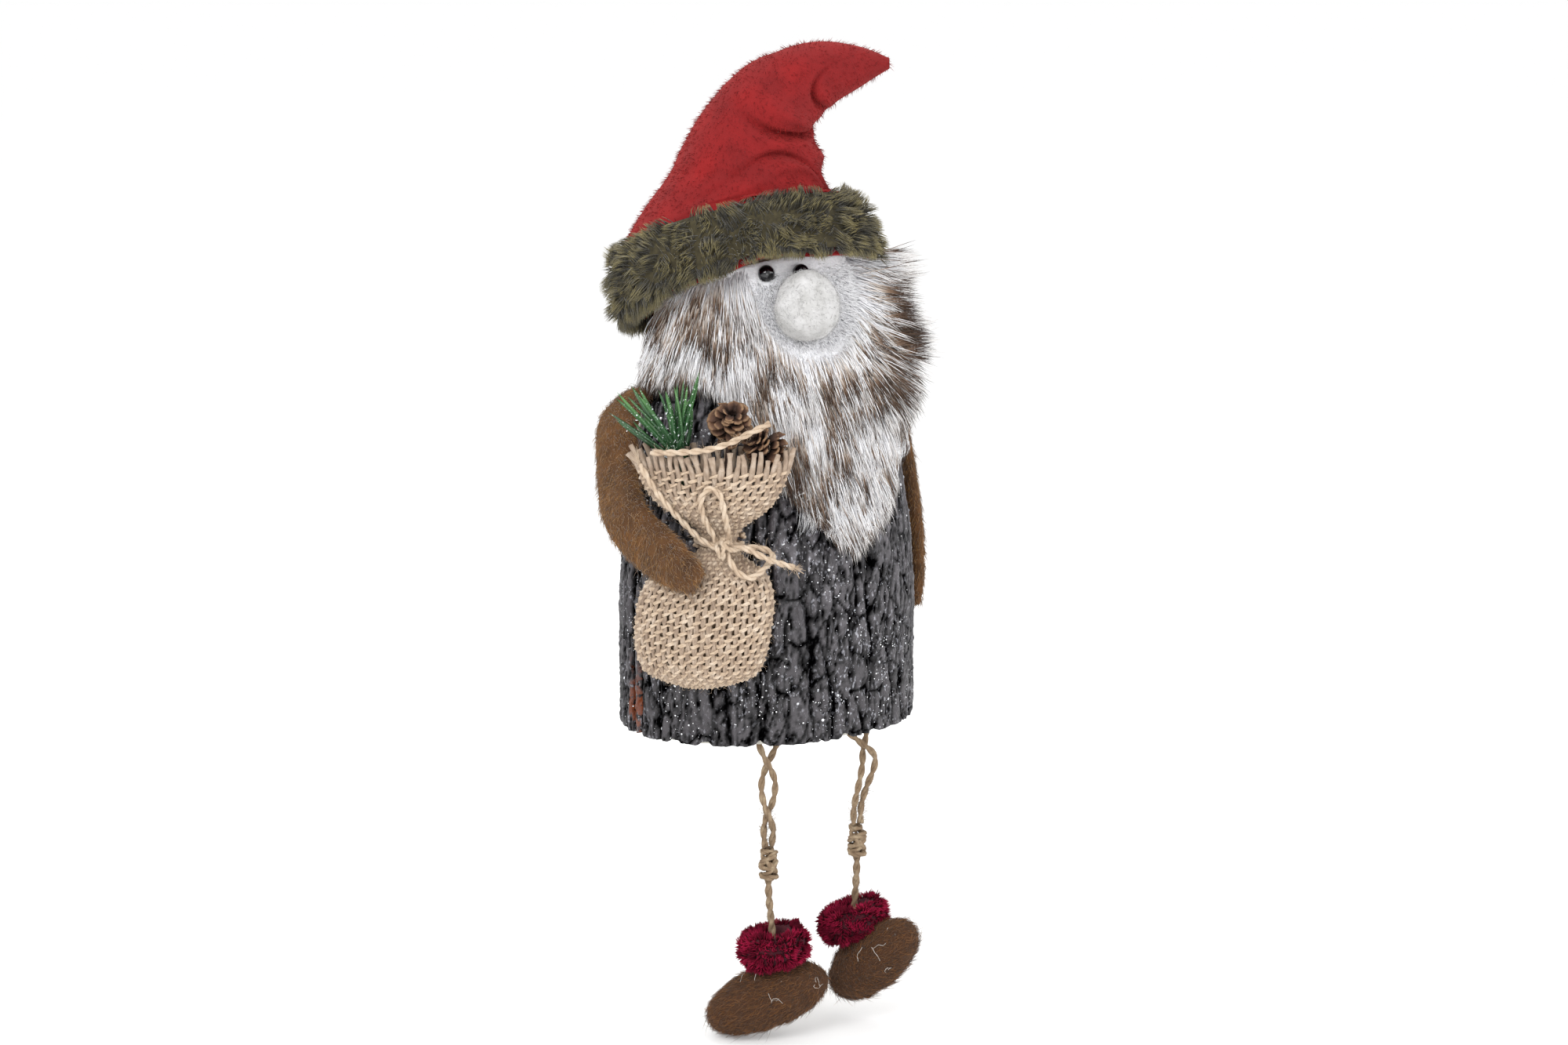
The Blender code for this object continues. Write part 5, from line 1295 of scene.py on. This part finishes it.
# Coarse black hair: a broken dark edge under each bead
LASH = hair("black_lash_hair", 0.6, ((0.0, "#2A2626"), (1.0, "#0A0808")))
BEAD_RADIUS = 2.62 * MM
for name, turn, count in (("right_eye", -24.5, 34), ("left_eye", -3.5, 60)):
    low, high = (Vector(corner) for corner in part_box(name))
    middle = (low + high) / 2
    bm = bmesh.new()
    bmesh.ops.create_uvsphere(bm, u_segments=40, v_segments=24, radius=BEAD_RADIUS)
    bmesh.ops.translate(bm, verts=bm.verts, vec=middle)
    points, triangles = as_arrays(bm)
    dress(copies(f"{name}_bead", points[None], triangles), "figure", BEAD, [name])
    rng = np.random.default_rng(84)
    out = log_normal(turn)
    across = Vector((-out.y, out.x, 0))
    angle = rng.uniform(math.pi * 1.02, math.pi * 1.98, count)
    roots = (np.array(middle) + np.outer(np.cos(angle), across) * 2.5 * MM
             + np.outer(np.sin(angle), UP) * 2.5 * MM + np.array(out) * 1.1 * MM)
    ways = np.outer(np.cos(angle), across) * 0.9 + np.outer(np.sin(angle), UP) * 0.3 + np.array(UP) * 0.6
    ways = unit(ways + np.array(out) * 1.0 + rng.normal(size=(count, 3)) * 0.2)
    tips = roots + ways * (rng.uniform(1.0, 2.2, count) * MM)[:, None]
    lash = grow(f"{name}_lashes", roots, tips, 0.13 * MM, seed=85)
    dress(lash, "figure", LASH)
    print(name, "bead at turn", turn)

# %% [markdown]
# The sack is burlap: coarse jute yarns about 2 mm apart, woven over and under, gathered at the neck and
# frayed at the mouth. Its holes are small and uneven, so a flat sheet with a picture of a weave would look
# wrong from close by. Each yarn is its own thread, laid on the sack's form, with its place in and out of
# the cloth turned at every crossing.

# %% The sack's form
SACK_TURN = -44.5
SACK_OUT = log_normal(SACK_TURN)
SACK_ASIDE = Vector((-SACK_OUT.y, SACK_OUT.x, 0))
SACK_FOOT, NECK_RISE = 22 * MM, 45 * MM


def sack_rows():
    """Height, half width, half depth, shift aside and shift out, from foot to mouth."""
    foot, rise, width, depth, aside = 22, 45, 42, 22, 5
    neck, neck_width, neck_depth = foot + rise, 13, 11
    rows = [Vector((foot + rise * z, width * w / 2, depth * d / 2, aside * z ** 2, 0)) * MM
            for z, w, d in ((0.00, 0.16, 0.30), (0.09, 0.78, 0.70), (0.25, 0.96, 0.93), (0.44, 1.00, 1.00),
                            (0.62, 0.98, 0.97), (0.79, 0.80, 0.84))]
    rows += [Vector((neck + 7 * end, neck_width / 2, neck_depth / 2, aside, 0)) * MM for end in (-0.5, 0.5)]
    rows += [Vector((neck + 29.5 * z, (neck_width + 38 * f) / 2, (neck_depth + 9 * f) / 2,
                     aside - 2.5 * f, 5 * f)) * MM
             for z, f in ((0.36, 0.52), (0.56, 0.76), (0.78, 0.90), (1.0, 1.0))]
    return rows


SACK_ROWS = sack_rows()


def sack_skin(share, angle):
    z, half_width, half_depth, aside, lean = curve_value(SACK_ROWS, share)
    near = on_log(SACK_TURN, max(z, LOG_SHOULDER))
    middle = Vector((near.x, near.y, z)) + SACK_ASIDE * (aside - 1.2 * MM)
    middle += SACK_OUT * (11.1 * MM + lean)
    return middle + SACK_ASIDE * math.cos(angle) * half_width + SACK_OUT * math.sin(angle) * half_depth


def sack_point(share, angle, out=0.0):
    spot = sack_skin(share, angle)
    along = sack_skin(min(1.0, share + 0.01), angle) - sack_skin(max(0.0, share - 0.01), angle)
    around = sack_skin(share, angle + 0.01) - sack_skin(share, angle - 0.01)
    return spot + along.cross(around).normalized() * out


# The stems start at the first of these shares of the sack's height, and pass the neck's middle at the second
STEM_FOOT, NECK_SHARE = 5 / 11, 6.5 / 11


def sack_middle(share):
    return (sack_point(share, 0) + sack_point(share, math.pi)) / 2


def sack_share_at(z):
    low, high = 0.0, 1.0
    for _ in range(24):
        middle = (low + high) / 2
        if curve_value(SACK_ROWS, middle)[0] < z:
            low = middle
        else:
            high = middle
    return low


def sack_front(rise, aside, out):
    """A point in front of the cloth, by its height over the neck's middle and its distance aside."""
    share = sack_share_at(SACK_FOOT + NECK_RISE + rise)
    half_width = curve_value(SACK_ROWS, share)[1]
    angle = math.acos(max(-1.0, min(1.0, aside / (half_width + out))))
    spot = sack_point(share, angle, out)
    return spot + SACK_ASIDE * (aside - math.cos(angle) * (half_width + out))


def over_sack(rise, aside, out):
    return sack_middle(1.0) + UP * rise + SACK_ASIDE * aside + SACK_OUT * out


print("sack mouth at", [round(v / MM) for v in over_sack(0, 0, 0)])

# %% [markdown]
# The yarns' places come from lengths along the cloth: the rings are 1.8 mm apart from foot to mouth, and
# the upright yarns 2.1 mm apart round the bag's widest part. At the neck the same yarns crowd together,
# which is what gathering does.

# %% Burlap weave
RING_PITCH, UPRIGHT_PITCH = 1.8 * MM, 2.1 * MM
YARN_RADIUS = 0.46 * MM
RING_DEPTH, UPRIGHT_DEPTH = 0.66 * MM, 0.18 * MM
FRINGE_RINGS = 4  # left out at the mouth, where the uprights fray

fine_shares = np.linspace(0, 1, 400)
profile = np.array([[tuple(sack_skin(s, a)) for a in (0.0, math.pi / 2)] for s in fine_shares])
climb = np.r_[0, np.cumsum(np.linalg.norm(np.diff(profile, axis=0), axis=2).mean(axis=1))]
ring_shares = [float(np.interp(d, climb, fine_shares)) for d in np.arange(1.6 * MM, climb[-1], RING_PITCH)]
fine_angles = np.linspace(0, 2 * math.pi, 721)
arc = np.hypot(21 * np.sin(fine_angles), 11 * np.cos(fine_angles))
arc = np.r_[0, np.cumsum((arc[1:] + arc[:-1]) / 2 * np.diff(fine_angles))] * MM
upright_count = 2 * round(arc[-1] / UPRIGHT_PITCH / 2)
upright_angles = [float(np.interp(arc[-1] * (k + 0.5) / upright_count, arc, fine_angles))
                  for k in range(upright_count)]
rng = np.random.default_rng(91)
ring_routes, upright_routes = [], []
woven_shares = ring_shares[:-FRINGE_RINGS]
for i, share in enumerate(woven_shares):
    route = []
    slip = rng.uniform(-0.12, 0.12)
    for k, angle in enumerate(upright_angles):
        after = upright_angles[(k + 1) % upright_count] + (2 * math.pi if k == upright_count - 1 else 0)
        over = RING_DEPTH * (1 if (i + k) % 2 else -1)
        wave = 0.16 * math.sin(3 * angle + i * 0.6) + 0.30 * math.sin(angle + 0.4) + slip
        row = ring_shares[min(i + 1, len(ring_shares) - 1)] - share
        drift = 0.35 * noise.noise(Vector((angle * 2.4, i / 5, 9.0)))
        fall = -0.24 if over > 0 else 0.24
        route.append(sack_point(share + row * (wave + drift), angle, over - 0.55 * MM))
        route.append(sack_point(share + row * (wave + drift + fall), (angle + after) / 2, -0.55 * MM))
    ring_routes.append(route)
for k, angle in enumerate(upright_angles):
    route = []
    sway = rng.uniform(-0.022, 0.022)
    for i, share in enumerate(woven_shares):
        over = UPRIGHT_DEPTH * (-1 if (i + k) % 2 else 1)
        after = woven_shares[i + 1] if i + 1 < len(woven_shares) else share
        bend = angle + sway * math.sin(i * 0.8 + k)
        route.append(sack_point(share, bend, over - 0.55 * MM))
        if after > share:
            route.append(sack_point((share + after) / 2, bend, -0.55 * MM))
    end = route[-1]
    lean = 0.9 + 1.5 * noise.noise(Vector((k / 2.2, 0.5, 5.0)))
    loose = (Vector(rng.normal(size=3) * 0.6) - SACK_ASIDE * lean) * MM
    reach = rng.uniform(0.5, 1.0)
    for s in (0.35, 0.7, 1.0):
        upward = sack_point(woven_shares[-1] + (1 - woven_shares[-1]) * s * reach, angle, -0.5 * MM)
        route.append(upward + loose * s * s)
    upright_routes.append(route)


def flat_yarn(route, closed, size, start, apart):
    """Two loose plies that lie mostly side by side in the cloth, as in a flat soft yarn."""
    path = np.array([tuple(p) for p in route])
    ahead = np.roll(path, -1, axis=0) - np.roll(path, 1, axis=0) if closed else np.gradient(path, axis=0)
    ahead = unit(ahead)
    shares = [sack_share_at(max(SACK_FOOT + 1 * MM, p[2])) for p in path]
    centre = np.array([tuple(sack_skin(s, 0) + sack_skin(s, math.pi)) for s in shares]) / 2
    side = unit(np.cross(ahead, path - centre))
    face = np.cross(side, ahead)
    turns = round(len(path) / 7)
    turn = start + 2 * math.pi * turns * np.arange(len(path)) / len(path)
    spread = side * (np.cos(turn) * apart * size)[:, None] + face * (np.sin(turn) * 0.16 * size)[:, None]
    return [path + spread * MM, path - spread * MM]


ring_plies = [ply for route in ring_routes
              for ply in flat_yarn(route, True, rng.uniform(0.8, 1.1), rng.random(), 0.26)]
upright_plies = [ply for route in upright_routes
                 for ply in flat_yarn(route, False, rng.uniform(0.8, 1.1), rng.random(), 0.44)]
rings = threads("burlap_rings", ring_plies, YARN_RADIUS * 0.85, closed=True)
uprights = threads("burlap_uprights", upright_plies, YARN_RADIUS * 1.15,
                   taper=lambda s: 1.0 + 0.35 * max(0.0, min(1.0, (s - 0.955) / 0.02)))
# Burlap's upright yarns: rough jute in a greyer tan, painted darker as the shade of the rings that lie over
# them
BURLAP = bast_fibre("burlap_uprights_in_shade", 0.9, 3.0, 0.25, 0.14,
                    ((0.3, "#806C5B"), (0.5, "#A8937E"), (0.72, "#D0C0AE")), "#928071")
# Its rings, and the bow: cleaner, paler jute; on the rings the paleness is partly painted light on the
# floats, so that the weave reads as light dashes on dark
BURLAP_FLOAT = bast_fibre("pale_jute_with_painted_light", 0.85, 3.0, 0.25, 0.14,
                          ((0.3, "#A38C76"), (0.5, "#CDB9A1"), (0.72, "#EADDCB")), "#B39D86")
dress(rings, "figure", BURLAP_FLOAT, ["sack_cloth"])
dress(uprights, "figure", BURLAP)
fuzz_along("burlap_fibres", ring_routes + upright_routes, 2200, 3.2, 92, "figure", BURLAP_FLOAT)

# Fibre wadding: a dull brown, darkened as painted shade so that the weave's holes look dark, without going
# black
WADDING = wandering("brown_wadding_in_painted_shade", 0.95, 2.0, 2.0, ((0.3, "#7A6450"), (0.7, "#A28A70")), (1.2, 2.0, 0.4))
filling = solid_copy("sack_filling", "sack_wadding", 1, inset=0.4 * MM)
dress(filling, "figure", WADDING, ["sack_filling"])
print(len(ring_routes), "rings and", upright_count, "uprights")

# %% [markdown]
# A twine goes round the neck and is tied in front in a bow. One loop stands up against the flared cloth,
# the other lies to the side, one tail runs up across the cloth to its left edge and the other ends in a
# frayed tuft on the right. A last loose end lies across the mouth.

# %% Tie and bow
REST = TWINE_RADIUS + 0.5 * MM
KNOT_OUT = 2 * REST + 2.9 * MM
wrap = []
for i in range(61):
    turn = 1.5 * (i / 60 - 0.5)
    share = sack_share_at(SACK_FOOT + NECK_RISE + turn * (2 * TWINE_RADIUS + 1.0 * MM))
    wrap.append(sack_point(share, math.pi / 2 + 2 * math.pi * turn, REST))
laid = plies(wrap)
tie = threads("neck_tie_twine", laid, TWINE_RADIUS * 0.53)
dress(tie, "figure", BURLAP_FLOAT, ["sack_tie"])

BOW = {
    "upper_loop": ((-2, 2.5, None), (4, 0.4, 3.6), (10, -1.4, 2.4), (15, -1.6, 2.2), (18.5, 1.0, 2.2),
                   (17, 4.4, 2.0), (11, 5.4, 2.2), (4, 5.0, 3.6), (-2, 4.6, None)),
    "side_loop": ((-1.4, 5.0, None), (-3.0, 10.0, 4.4), (-4.6, 15.4, 3.8), (-7.2, 19.8, 3.4),
                  (-10.0, 15.4, 3.0), (-8.4, 10.0, 2.8), (-3.4, 5.0, None)),
    "long_tail": ((-1.4, 2.5, None), (1.5, -2.6, 4.4), (7, -8.4, 2.4), (15.5, -15.2, 2.0),
                  (24.5, -21.5, 2.0)),
    "short_tail": ((-2.6, 5.5, None), (-4.4, 10.5, 7.1), (-6.6, 15.5, 7.6), (-8.6, 21.0, 7.2),
                   (-10.4, 26.5, 6.6)),
}
routes, sizes, lines = [], [], {}
for name, route in BOW.items():
    keys = [sack_front(z * MM, aside * MM, out * MM if out else KNOT_OUT) for z, aside, out in route]
    lines[name] = smooth_line(keys, 60)
    laid = plies(lines[name], radius=1.1 * MM, lay=8 * MM)
    routes += laid
    sizes += [0.60 * MM] * len(laid)
knot_middle = sack_front(-2 * MM, 4 * MM, KNOT_OUT)
for k, tilt in enumerate((0.35, -0.15, 0.9)):
    turned = Matrix.Rotation(tilt, 3, SACK_OUT)
    hoop = []
    for i in range(25):
        a = 2 * math.pi * i / 24 * 1.06
        flat = UP * math.cos(a) * 2.3 + SACK_OUT * math.sin(a) * 2.4
        flat += SACK_ASIDE * (1.5 * (k - 1) + 0.5 * a / 6)
        hoop.append(knot_middle + turned @ flat * MM)
    laid = plies(hoop, radius=0.8 * MM, lay=5 * MM)
    routes += laid
    sizes += [0.52 * MM] * len(laid)
bow = threads("twine_bow", routes, sizes)
dress(bow, "figure", BURLAP_FLOAT, ["sack_bow"])
frayed = []
rng = np.random.default_rng(95)
for name in ("long_tail", "short_tail"):
    end, before = lines[name][-1], lines[name][-6]
    ahead = (end - before).normalized()
    for _ in range(34):
        spread = Vector(rng.normal(size=3) * 0.34)
        frayed.append([end - ahead * 2 * MM, end + (ahead * 1.2 + spread) * MM,
                       end + (ahead + spread * 1.1) * rng.uniform(2.0, 3.6) * MM])
ends = threads("frayed_ends", frayed, 0.11 * MM, detail=0, taper=lambda s: 1.1 - 0.8 * s)
dress(ends, "figure", BURLAP_FLOAT)
keys = [over_sack(z * MM, aside * MM, out * MM) for z, aside, out in
        ((-1.2, -17, 9.5), (-0.6, -8, 10.8), (0.4, 0, 11.2), (2.6, 7, 10.8), (5.6, 13, 9.8), (8.6, 19, 8.6))]
laid = plies(smooth_line(keys, 50), radius=1.1 * MM, lay=8 * MM)
across = threads("mouth_twine", laid, 0.62 * MM)
dress(across, "figure", BURLAP_FLOAT)
fuzz_along("bow_fibres", routes + laid, 1100, 3.2, 96, "figure", BURLAP_FLOAT)
print("bow of", len(routes), "plies")

# %% [markdown]
# In the mouth stand two small fir cones and a sprig. A cone is a spindle with its scales set in a spiral,
# each one a golden angle on from the last. One scale is modelled, thick at its lip, and copied up the
# spindle.

# %% Cones
GOLDEN_ANGLE = math.radians(137.5)


def scale_shape():
    """One cone scale: a small plate that widens and curls up to a thick lip."""
    bm = bmesh.new()
    bmesh.ops.create_grid(bm, x_segments=2, y_segments=3, size=0.5)
    for v in bm.verts:
        along, side = v.co.y + 0.5, v.co.x * 2
        half = 0.14 + 0.26 * math.sin(min(1.0, along * 1.15) * math.pi * 0.55)
        if along > 0.9:
            half *= 0.75
        v.co = Vector((side * half, along, 0.34 * along ** 2 - 0.10 * side * side))
    bmesh.ops.solidify(bm, geom=list(bm.faces), thickness=0.16)
    bmesh.ops.triangulate(bm, faces=bm.faces)
    bmesh.ops.recalc_face_normals(bm, faces=bm.faces)
    return as_arrays(bm)


# Dry cone wood: dark brown, darkened to almost black towards each scale's foot as painted shade in the cone's
# depth, and a pale worn edge on each scale's lip
CONE, tree, shader = new_finish("dry_fir_cone", 0.75)
wood = add(tree, "ValToRGB", {"Fac": add(tree, "Attribute", out="Fac", attribute_name="lip")},
           ((0.0, "#150B07"), (0.5, "#372217"), (0.85, "#654530"), (1.0, "#A3815F")))
wood = add(tree, "MixRGB", {"Fac": grain(tree, 1.0), "Color1": wood, "Color2": "#3E2414"})
rough = add(tree, "Bump", {"Height": grain(tree, 0.4), "Distance": 0.12 * MM})
fill(shader, {"Base Color": wood, "Normal": rough})


def cone(name, node, diameter, place, lean, face, count, seed):
    """Scales in a spiral round an egg; face tips the cone towards the viewer."""
    rng = np.random.default_rng(seed)
    middle = np.array(over_sack(*(v * MM for v in place)))
    spin = (Matrix.Rotation(math.radians(lean), 3, SACK_OUT)
            @ Matrix.Rotation(math.radians(face), 3, SACK_ASIDE))
    axis = np.array(spin @ UP)
    one = np.array(spin @ SACK_ASIDE)
    other = np.cross(axis, one)
    shape, triangles = scale_shape()
    points = []
    for i in range(count):
        t = (i + 0.5) / count
        angle = i * GOLDEN_ANGLE
        height = -0.50 + 0.92 * t
        radius = math.sqrt(max(0.02, 1 - (2 * height) ** 2))
        out = one * math.cos(angle) + other * math.sin(angle)
        ahead = unit(out * (1.0 - 0.60 * t) + axis * (0.9 * t - 0.05) + rng.normal(size=3) * 0.24)
        side = unit(np.cross(axis, out))
        lid = np.cross(side, ahead)
        size = diameter * (0.34 - 0.10 * abs(2 * height)) * rng.uniform(0.75, 1.2)
        base = middle + (out * radius * 0.20 + axis * height * 0.95) * diameter
        points.append(base + size * (side * shape[:, 0:1] * 1.1 + ahead * shape[:, 1:2]
                                     + lid * shape[:, 2:3]))
    obj = copies(name, np.array(points), triangles, {"lip": np.clip(shape[:, 1], 0, 1)[None]})
    dress(obj, "figure", CONE, [node])
    stem = [sack_middle(STEM_FOOT) + UP * 2 * MM, sack_middle(NECK_SHARE), Vector(middle)]
    core = threads(f"{name}_stem", [smooth_line(stem, 12)], 0.8 * MM)
    dress(core, "figure", CONE)


cone("upper_fir_cone", "upper_pine_cone", 12.6 * MM, (6.8, 5.6, 1.4), -18, 40, 58, 101)
cone("lower_fir_cone", "lower_pine_cone", 12 * MM, (-0.4, 16.0, 0.5), 40, 30, 56, 102)
print("scale of", len(scale_shape()[1]), "triangles")

# %% [markdown]
# The sprig is a plastic pick. Its needles are flat tapered blades that fan out from a wire stem, and crumbs
# of artificial snow stick to them low down.

# %% Sprig
NEEDLES = ((59, 8, 0.95), (55, -6, 1.05), (49, 9, 1.10), (43, -3, 1.10), (36, 8, 1.05), (29, -5, 0.95),
           (19, 9, 0.80), (10, -2, 0.75), (1, 10, 0.80), (-7, 0, 0.85), (-13, -9, 0.80))
EXTRA = ((52, 12, 0.8), (40, 14, 0.7), (24, 2, 0.65), (14, 14, 0.6), (5, -8, 0.9), (-10, 8, 0.7),
         (-16, 3, 0.95), (33, -12, 0.85), (46, 3, 0.9), (-4, 14, 0.6), (-19, -4, 1.0))
foot = over_sack(-6.4 * MM, -11.5 * MM, -0.5 * MM)
rng = np.random.default_rng(103)
roots, tips = [], []
for i, (lean, forward, length) in enumerate(NEEDLES + EXTRA):
    way = Matrix.Rotation(math.radians(-forward), 3, SACK_ASIDE) @ UP
    way = Matrix.Rotation(math.radians(lean), 3, SACK_OUT) @ way
    start = foot + UP * 0.55 * MM * (2 + i % len(NEEDLES))
    if i >= len(NEEDLES):
        start = start + SACK_ASIDE * rng.uniform(-1, 3.5) * MM + SACK_OUT * rng.uniform(0, 2) * MM
    roots.append(tuple(start))
    tips.append(tuple(start + way * 24 * MM * length))
roots, tips = np.array(roots), np.array(tips)
droop = rng.normal(size=roots.shape) * 0.5 * MM
needles = grow("sprig_needles", roots, tips, 2.5 * MM, droop, cuts=7, taper=0.34, flat=0.6, seed=104,
               tint=rng.random(len(roots)))
# Moulded polyethylene: a waxy mid green, darkened towards the root as painted shade where the needles crowd,
# and paler at the tips, partly as painted highlight, with frost caught on it in specks
GREEN, tree, shader = new_finish("green_polyethylene_needle", 0.45)
leafy = hair_colour(tree, ((0.0, "#112C14"), (0.4, "#28552A"), (1.0, "#5B8A4C")), "#1F4A25")
specks = add(tree, "MapRange", {"Value": grain(tree, 0.5), "From Min": 0.64, "From Max": 0.70})
fill(shader, {"Base Color": add(tree, "MixRGB", {"Fac": specks, "Color1": leafy, "Color2": "#D9E4DC"})})
dress(needles, "figure", GREEN, ["pine_sprig"])
stem_line = [sack_middle(STEM_FOOT) + UP * 2 * MM, sack_middle(NECK_SHARE) - SACK_ASIDE * 2.6 * MM, foot,
             foot + UP * 8 * MM]
stem = threads("sprig_stem", [smooth_line(stem_line, 16)], 1.1 * MM)
dress(stem, "figure", GREEN)

# Crumbled plastic snow: bright white, faintly blue and a little translucent
FROST = wandering("plastic_snow", 0.6, 0.6, 1.0, ((0.3, "#DDE6EA"), (0.7, "#FFFFFF")), Subsurface_Weight=0.1)
count = 120
pick = rng.integers(0, len(roots), count)
share = 0.12 + rng.random(count) ** 2.0 * 0.6
spots = roots[pick] + (tips - roots)[pick] * share[:, None] + rng.normal(size=(count, 3)) * 0.7 * MM
snow = scatter("sprig_snow", flake_shape(5), spots, unit(rng.normal(size=(count, 3))),
               rng.uniform(0.18, 0.5, count) * MM, 105)
dress(snow, "figure", FROST)
print(len(roots), "needles,", count, "crumbs of snow")

# %% [markdown]
# The arms and the shoes are brown felt: matted wool with no weave, golden where the light catches the
# fibres that stand off it. The felt's body is the solid, smoothed and made a little uneven, and a coat of
# short hairs gives the soft edge.

# %% Felt
# Wool felt: matt tan brown in cloudy patches, with a golden sheen at the edges
FELT = felted("brown_wool_felt", "#4A2E14", "#694420", (0.5, 3.0), (0.6, 3.0, 0.3), "#C08A4A",
              (7, 2.0, "#3B240F"), Sheen_Weight=0.5)
# The felt's loose fibres, from dark to golden, which catch the light as a halo
FELT_HAIR = hair("brown_felt_fibre", 0.8, "#4A2D13", "#A87A3C", Sheen_Weight=0.3)
# The shoes' felt: the same brown felt as the arms, painted darker as shade, with less sheen
SHOE_FELT = felted("shoe_felt_in_painted_shade", "#2D1909", "#4F2E11", (0.6, 3.0), (0.6, 3.0, 0.3), "#A87840",
                   Sheen_Weight=0.15)
# Its loose fibres, painted darker as shade in the same way
SHOE_HAIR = hair("shoe_fibre_in_painted_shade", 0.8, "#321B09", "#8D5A24", Sheen_Weight=0.1)


def felt_piece(name, node, body, swell, lumps, hairs, seed, comb, felt=FELT, fibre=FELT_HAIR):
    piece = solid_copy(node, name, 2, inset=-swell * MM)
    for v in piece.data.vertices:
        v.co += v.normal * (noise.noise(v.co / (6 * MM)) * lumps + noise.noise(v.co / (1.8 * MM)) * 0.15) * MM
    dress(piece, body, felt, [node])
    roots, normals = roots_on(piece, hairs, seed)
    rng = np.random.default_rng(seed)
    lay = unit(np.array(comb)[None] + rng.normal(size=roots.shape) * 0.42)
    lay = unit(lay - normals * (lay * normals).sum(axis=1)[:, None])
    reach = rng.uniform(1.2, 3.4, hairs) * rng.choice([1.0, 1.6, 2.4], hairs, p=[0.90, 0.08, 0.02]) * MM
    ways = (lay + normals * (0.02 + 0.5 * rng.random(hairs) ** 2)[:, None]) * reach[:, None]
    coat = grow(f"{name}_fibres", roots - normals * 0.1 * MM, roots + ways, 0.14 * MM, normals * 0.3 * MM,
                cuts=1, seed=seed + 1, tint=rng.random(hairs) ** 1.4)
    dress(coat, body, fibre)


felt_piece("right_felt_arm", "right_arm", "figure", 0.6, 0.35, 6000, 111, (0.4, -0.3, -0.8))
felt_piece("left_felt_arm", "left_arm", "left_arm", 0.1, 0.25, 4500, 112, (0, 0, -1))
felt_piece("right_felt_shoe", "right_shoe", "right_foot", 0.1, 0.6, 5100, 113, (-0.8, 0.3, -0.4), SHOE_FELT,
           SHOE_HAIR)
felt_piece("left_felt_shoe", "left_shoe", "left_foot", 0.1, 0.6, 5100, 114, (0.5, -0.5, 0.4), SHOE_FELT,
           SHOE_HAIR)
print("felt arms and shoes")

# %% [markdown]
# Each shoe's cuff is burgundy chenille, a cord of dense tufts crowded into a ring round the twine. The ring
# is the solid, drawn in, and the tufts stand out of it.

# %% Cuffs
# Chenille's core: wine red, darkened as painted shade so that the gaps between the tufts look deep
CHENILLE_CORE = wandering("chenille_core_painted_shade", 0.95, 1.5, 2.0, ((0.3, "#2A020E"), (0.7, "#4A061A")))
# Chenille's tufts: matt wine red, darkened to almost black at the root as painted shade between the tufts,
# and rosy at the tip as a painted highlight
CHENILLE = hair("burgundy_chenille_tuft", 1.0, ((0.0, "#24020A"), (0.5, "#740925"), (1.0, "#B4234C")),
                "#4A0418", Specular_IOR_Level=0.15)
# Hot-melt glue pulled to threads: thin, pale and slightly shiny
GLUE = wandering("dry_glue_string", 0.25, 1.0, 1.0, ((0.3, "#CFC7BE"), (0.7, "#F1EEEA")))
for side in LEGS:
    core = solid_copy(f"{side}_shoe_cuff", f"{side}_cuff_core", 1, inset=1.0 * MM)
    dress(core, f"{side}_foot", CHENILLE_CORE, [f"{side}_shoe_cuff"])
    roots, normals = roots_on(NODES[f"{side}_shoe_cuff"], 5200, 121)
    ankle = np.array(LEGS[side]["ankle"])
    out = roots - ankle
    out[:, 2] = 0
    wide = np.linalg.norm(out, axis=1)
    kept = (wide > 3.2 * MM) & ((normals * unit(out)).sum(axis=1) > -0.3)
    roots, normals = roots[kept], normals[kept]
    rng = np.random.default_rng(122)
    wander = np.stack([cloud(roots, 3.2, 11 + k) for k in range(3)], axis=1)
    ways = unit(normals + wander * 1.0 + rng.normal(size=roots.shape) * 0.25)
    start = roots - normals * 1.5 * MM
    tips = start + ways * (rng.uniform(2.0, 3.3, len(roots)) * MM)[:, None]
    tips = clumped(start, tips, 260, 0.35, 123)[0]
    tufts = grow(f"{side}_cuff_tufts", start, tips, 0.5 * MM, cuts=1, taper=0.35, seed=124,
                 tint=np.clip(0.4 + cloud(roots, 4, 3.0), 0, 1))
    dress(tufts, f"{side}_foot", CHENILLE)
    strings = []
    shoe_spots, shoe_normals = roots_on(NODES[f"{side}_shoe"], 14, 125,
                                        lambda p, n: (p[:, 2] > p[:, 2].mean()).astype(float) * (n[:, 1] < 0))
    for spot, normal in zip(shoe_spots[:9], shoe_normals[:9]):
        walk = [Vector(spot + normal * 0.5 * MM)]
        way = Vector(unit(rng.normal(size=3)))
        for _ in range(7):
            way = (way + Vector(rng.normal(size=3)) * 0.5).normalized()
            flat = (way - Vector(normal) * way.dot(Vector(normal)) * 0.8).normalized()
            walk.append(walk[-1] + flat * 0.75 * MM)
        strings.append(walk)
    glue = threads(f"{side}_glue_strings", strings, 0.055 * MM, detail=0)
    dress(glue, f"{side}_foot", GLUE)
print("cuff tufts:", len(roots))

# %% [markdown]
# The last step prints the boxes of the solid model and of this one, so that they can be compared, and counts
# the triangles.

sizes = {"cad": CAD_BOX, "visual": [[float(v) for v in corner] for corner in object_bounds()]}
triangles = {}
for obj in bpy.context.scene.objects:
    if obj.type == "MESH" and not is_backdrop(obj):
        obj.data.calc_loop_triangles()
        triangles[obj.name] = len(obj.data.loop_triangles)
print("triangles:", sum(triangles.values()), "largest:", sorted(triangles.items(), key=lambda t: -t[1])[:5])
for name in ("cad", "visual"):
    print(name, "box in mm:", [[round(v / MM, 1) for v in corner] for corner in sizes[name]])
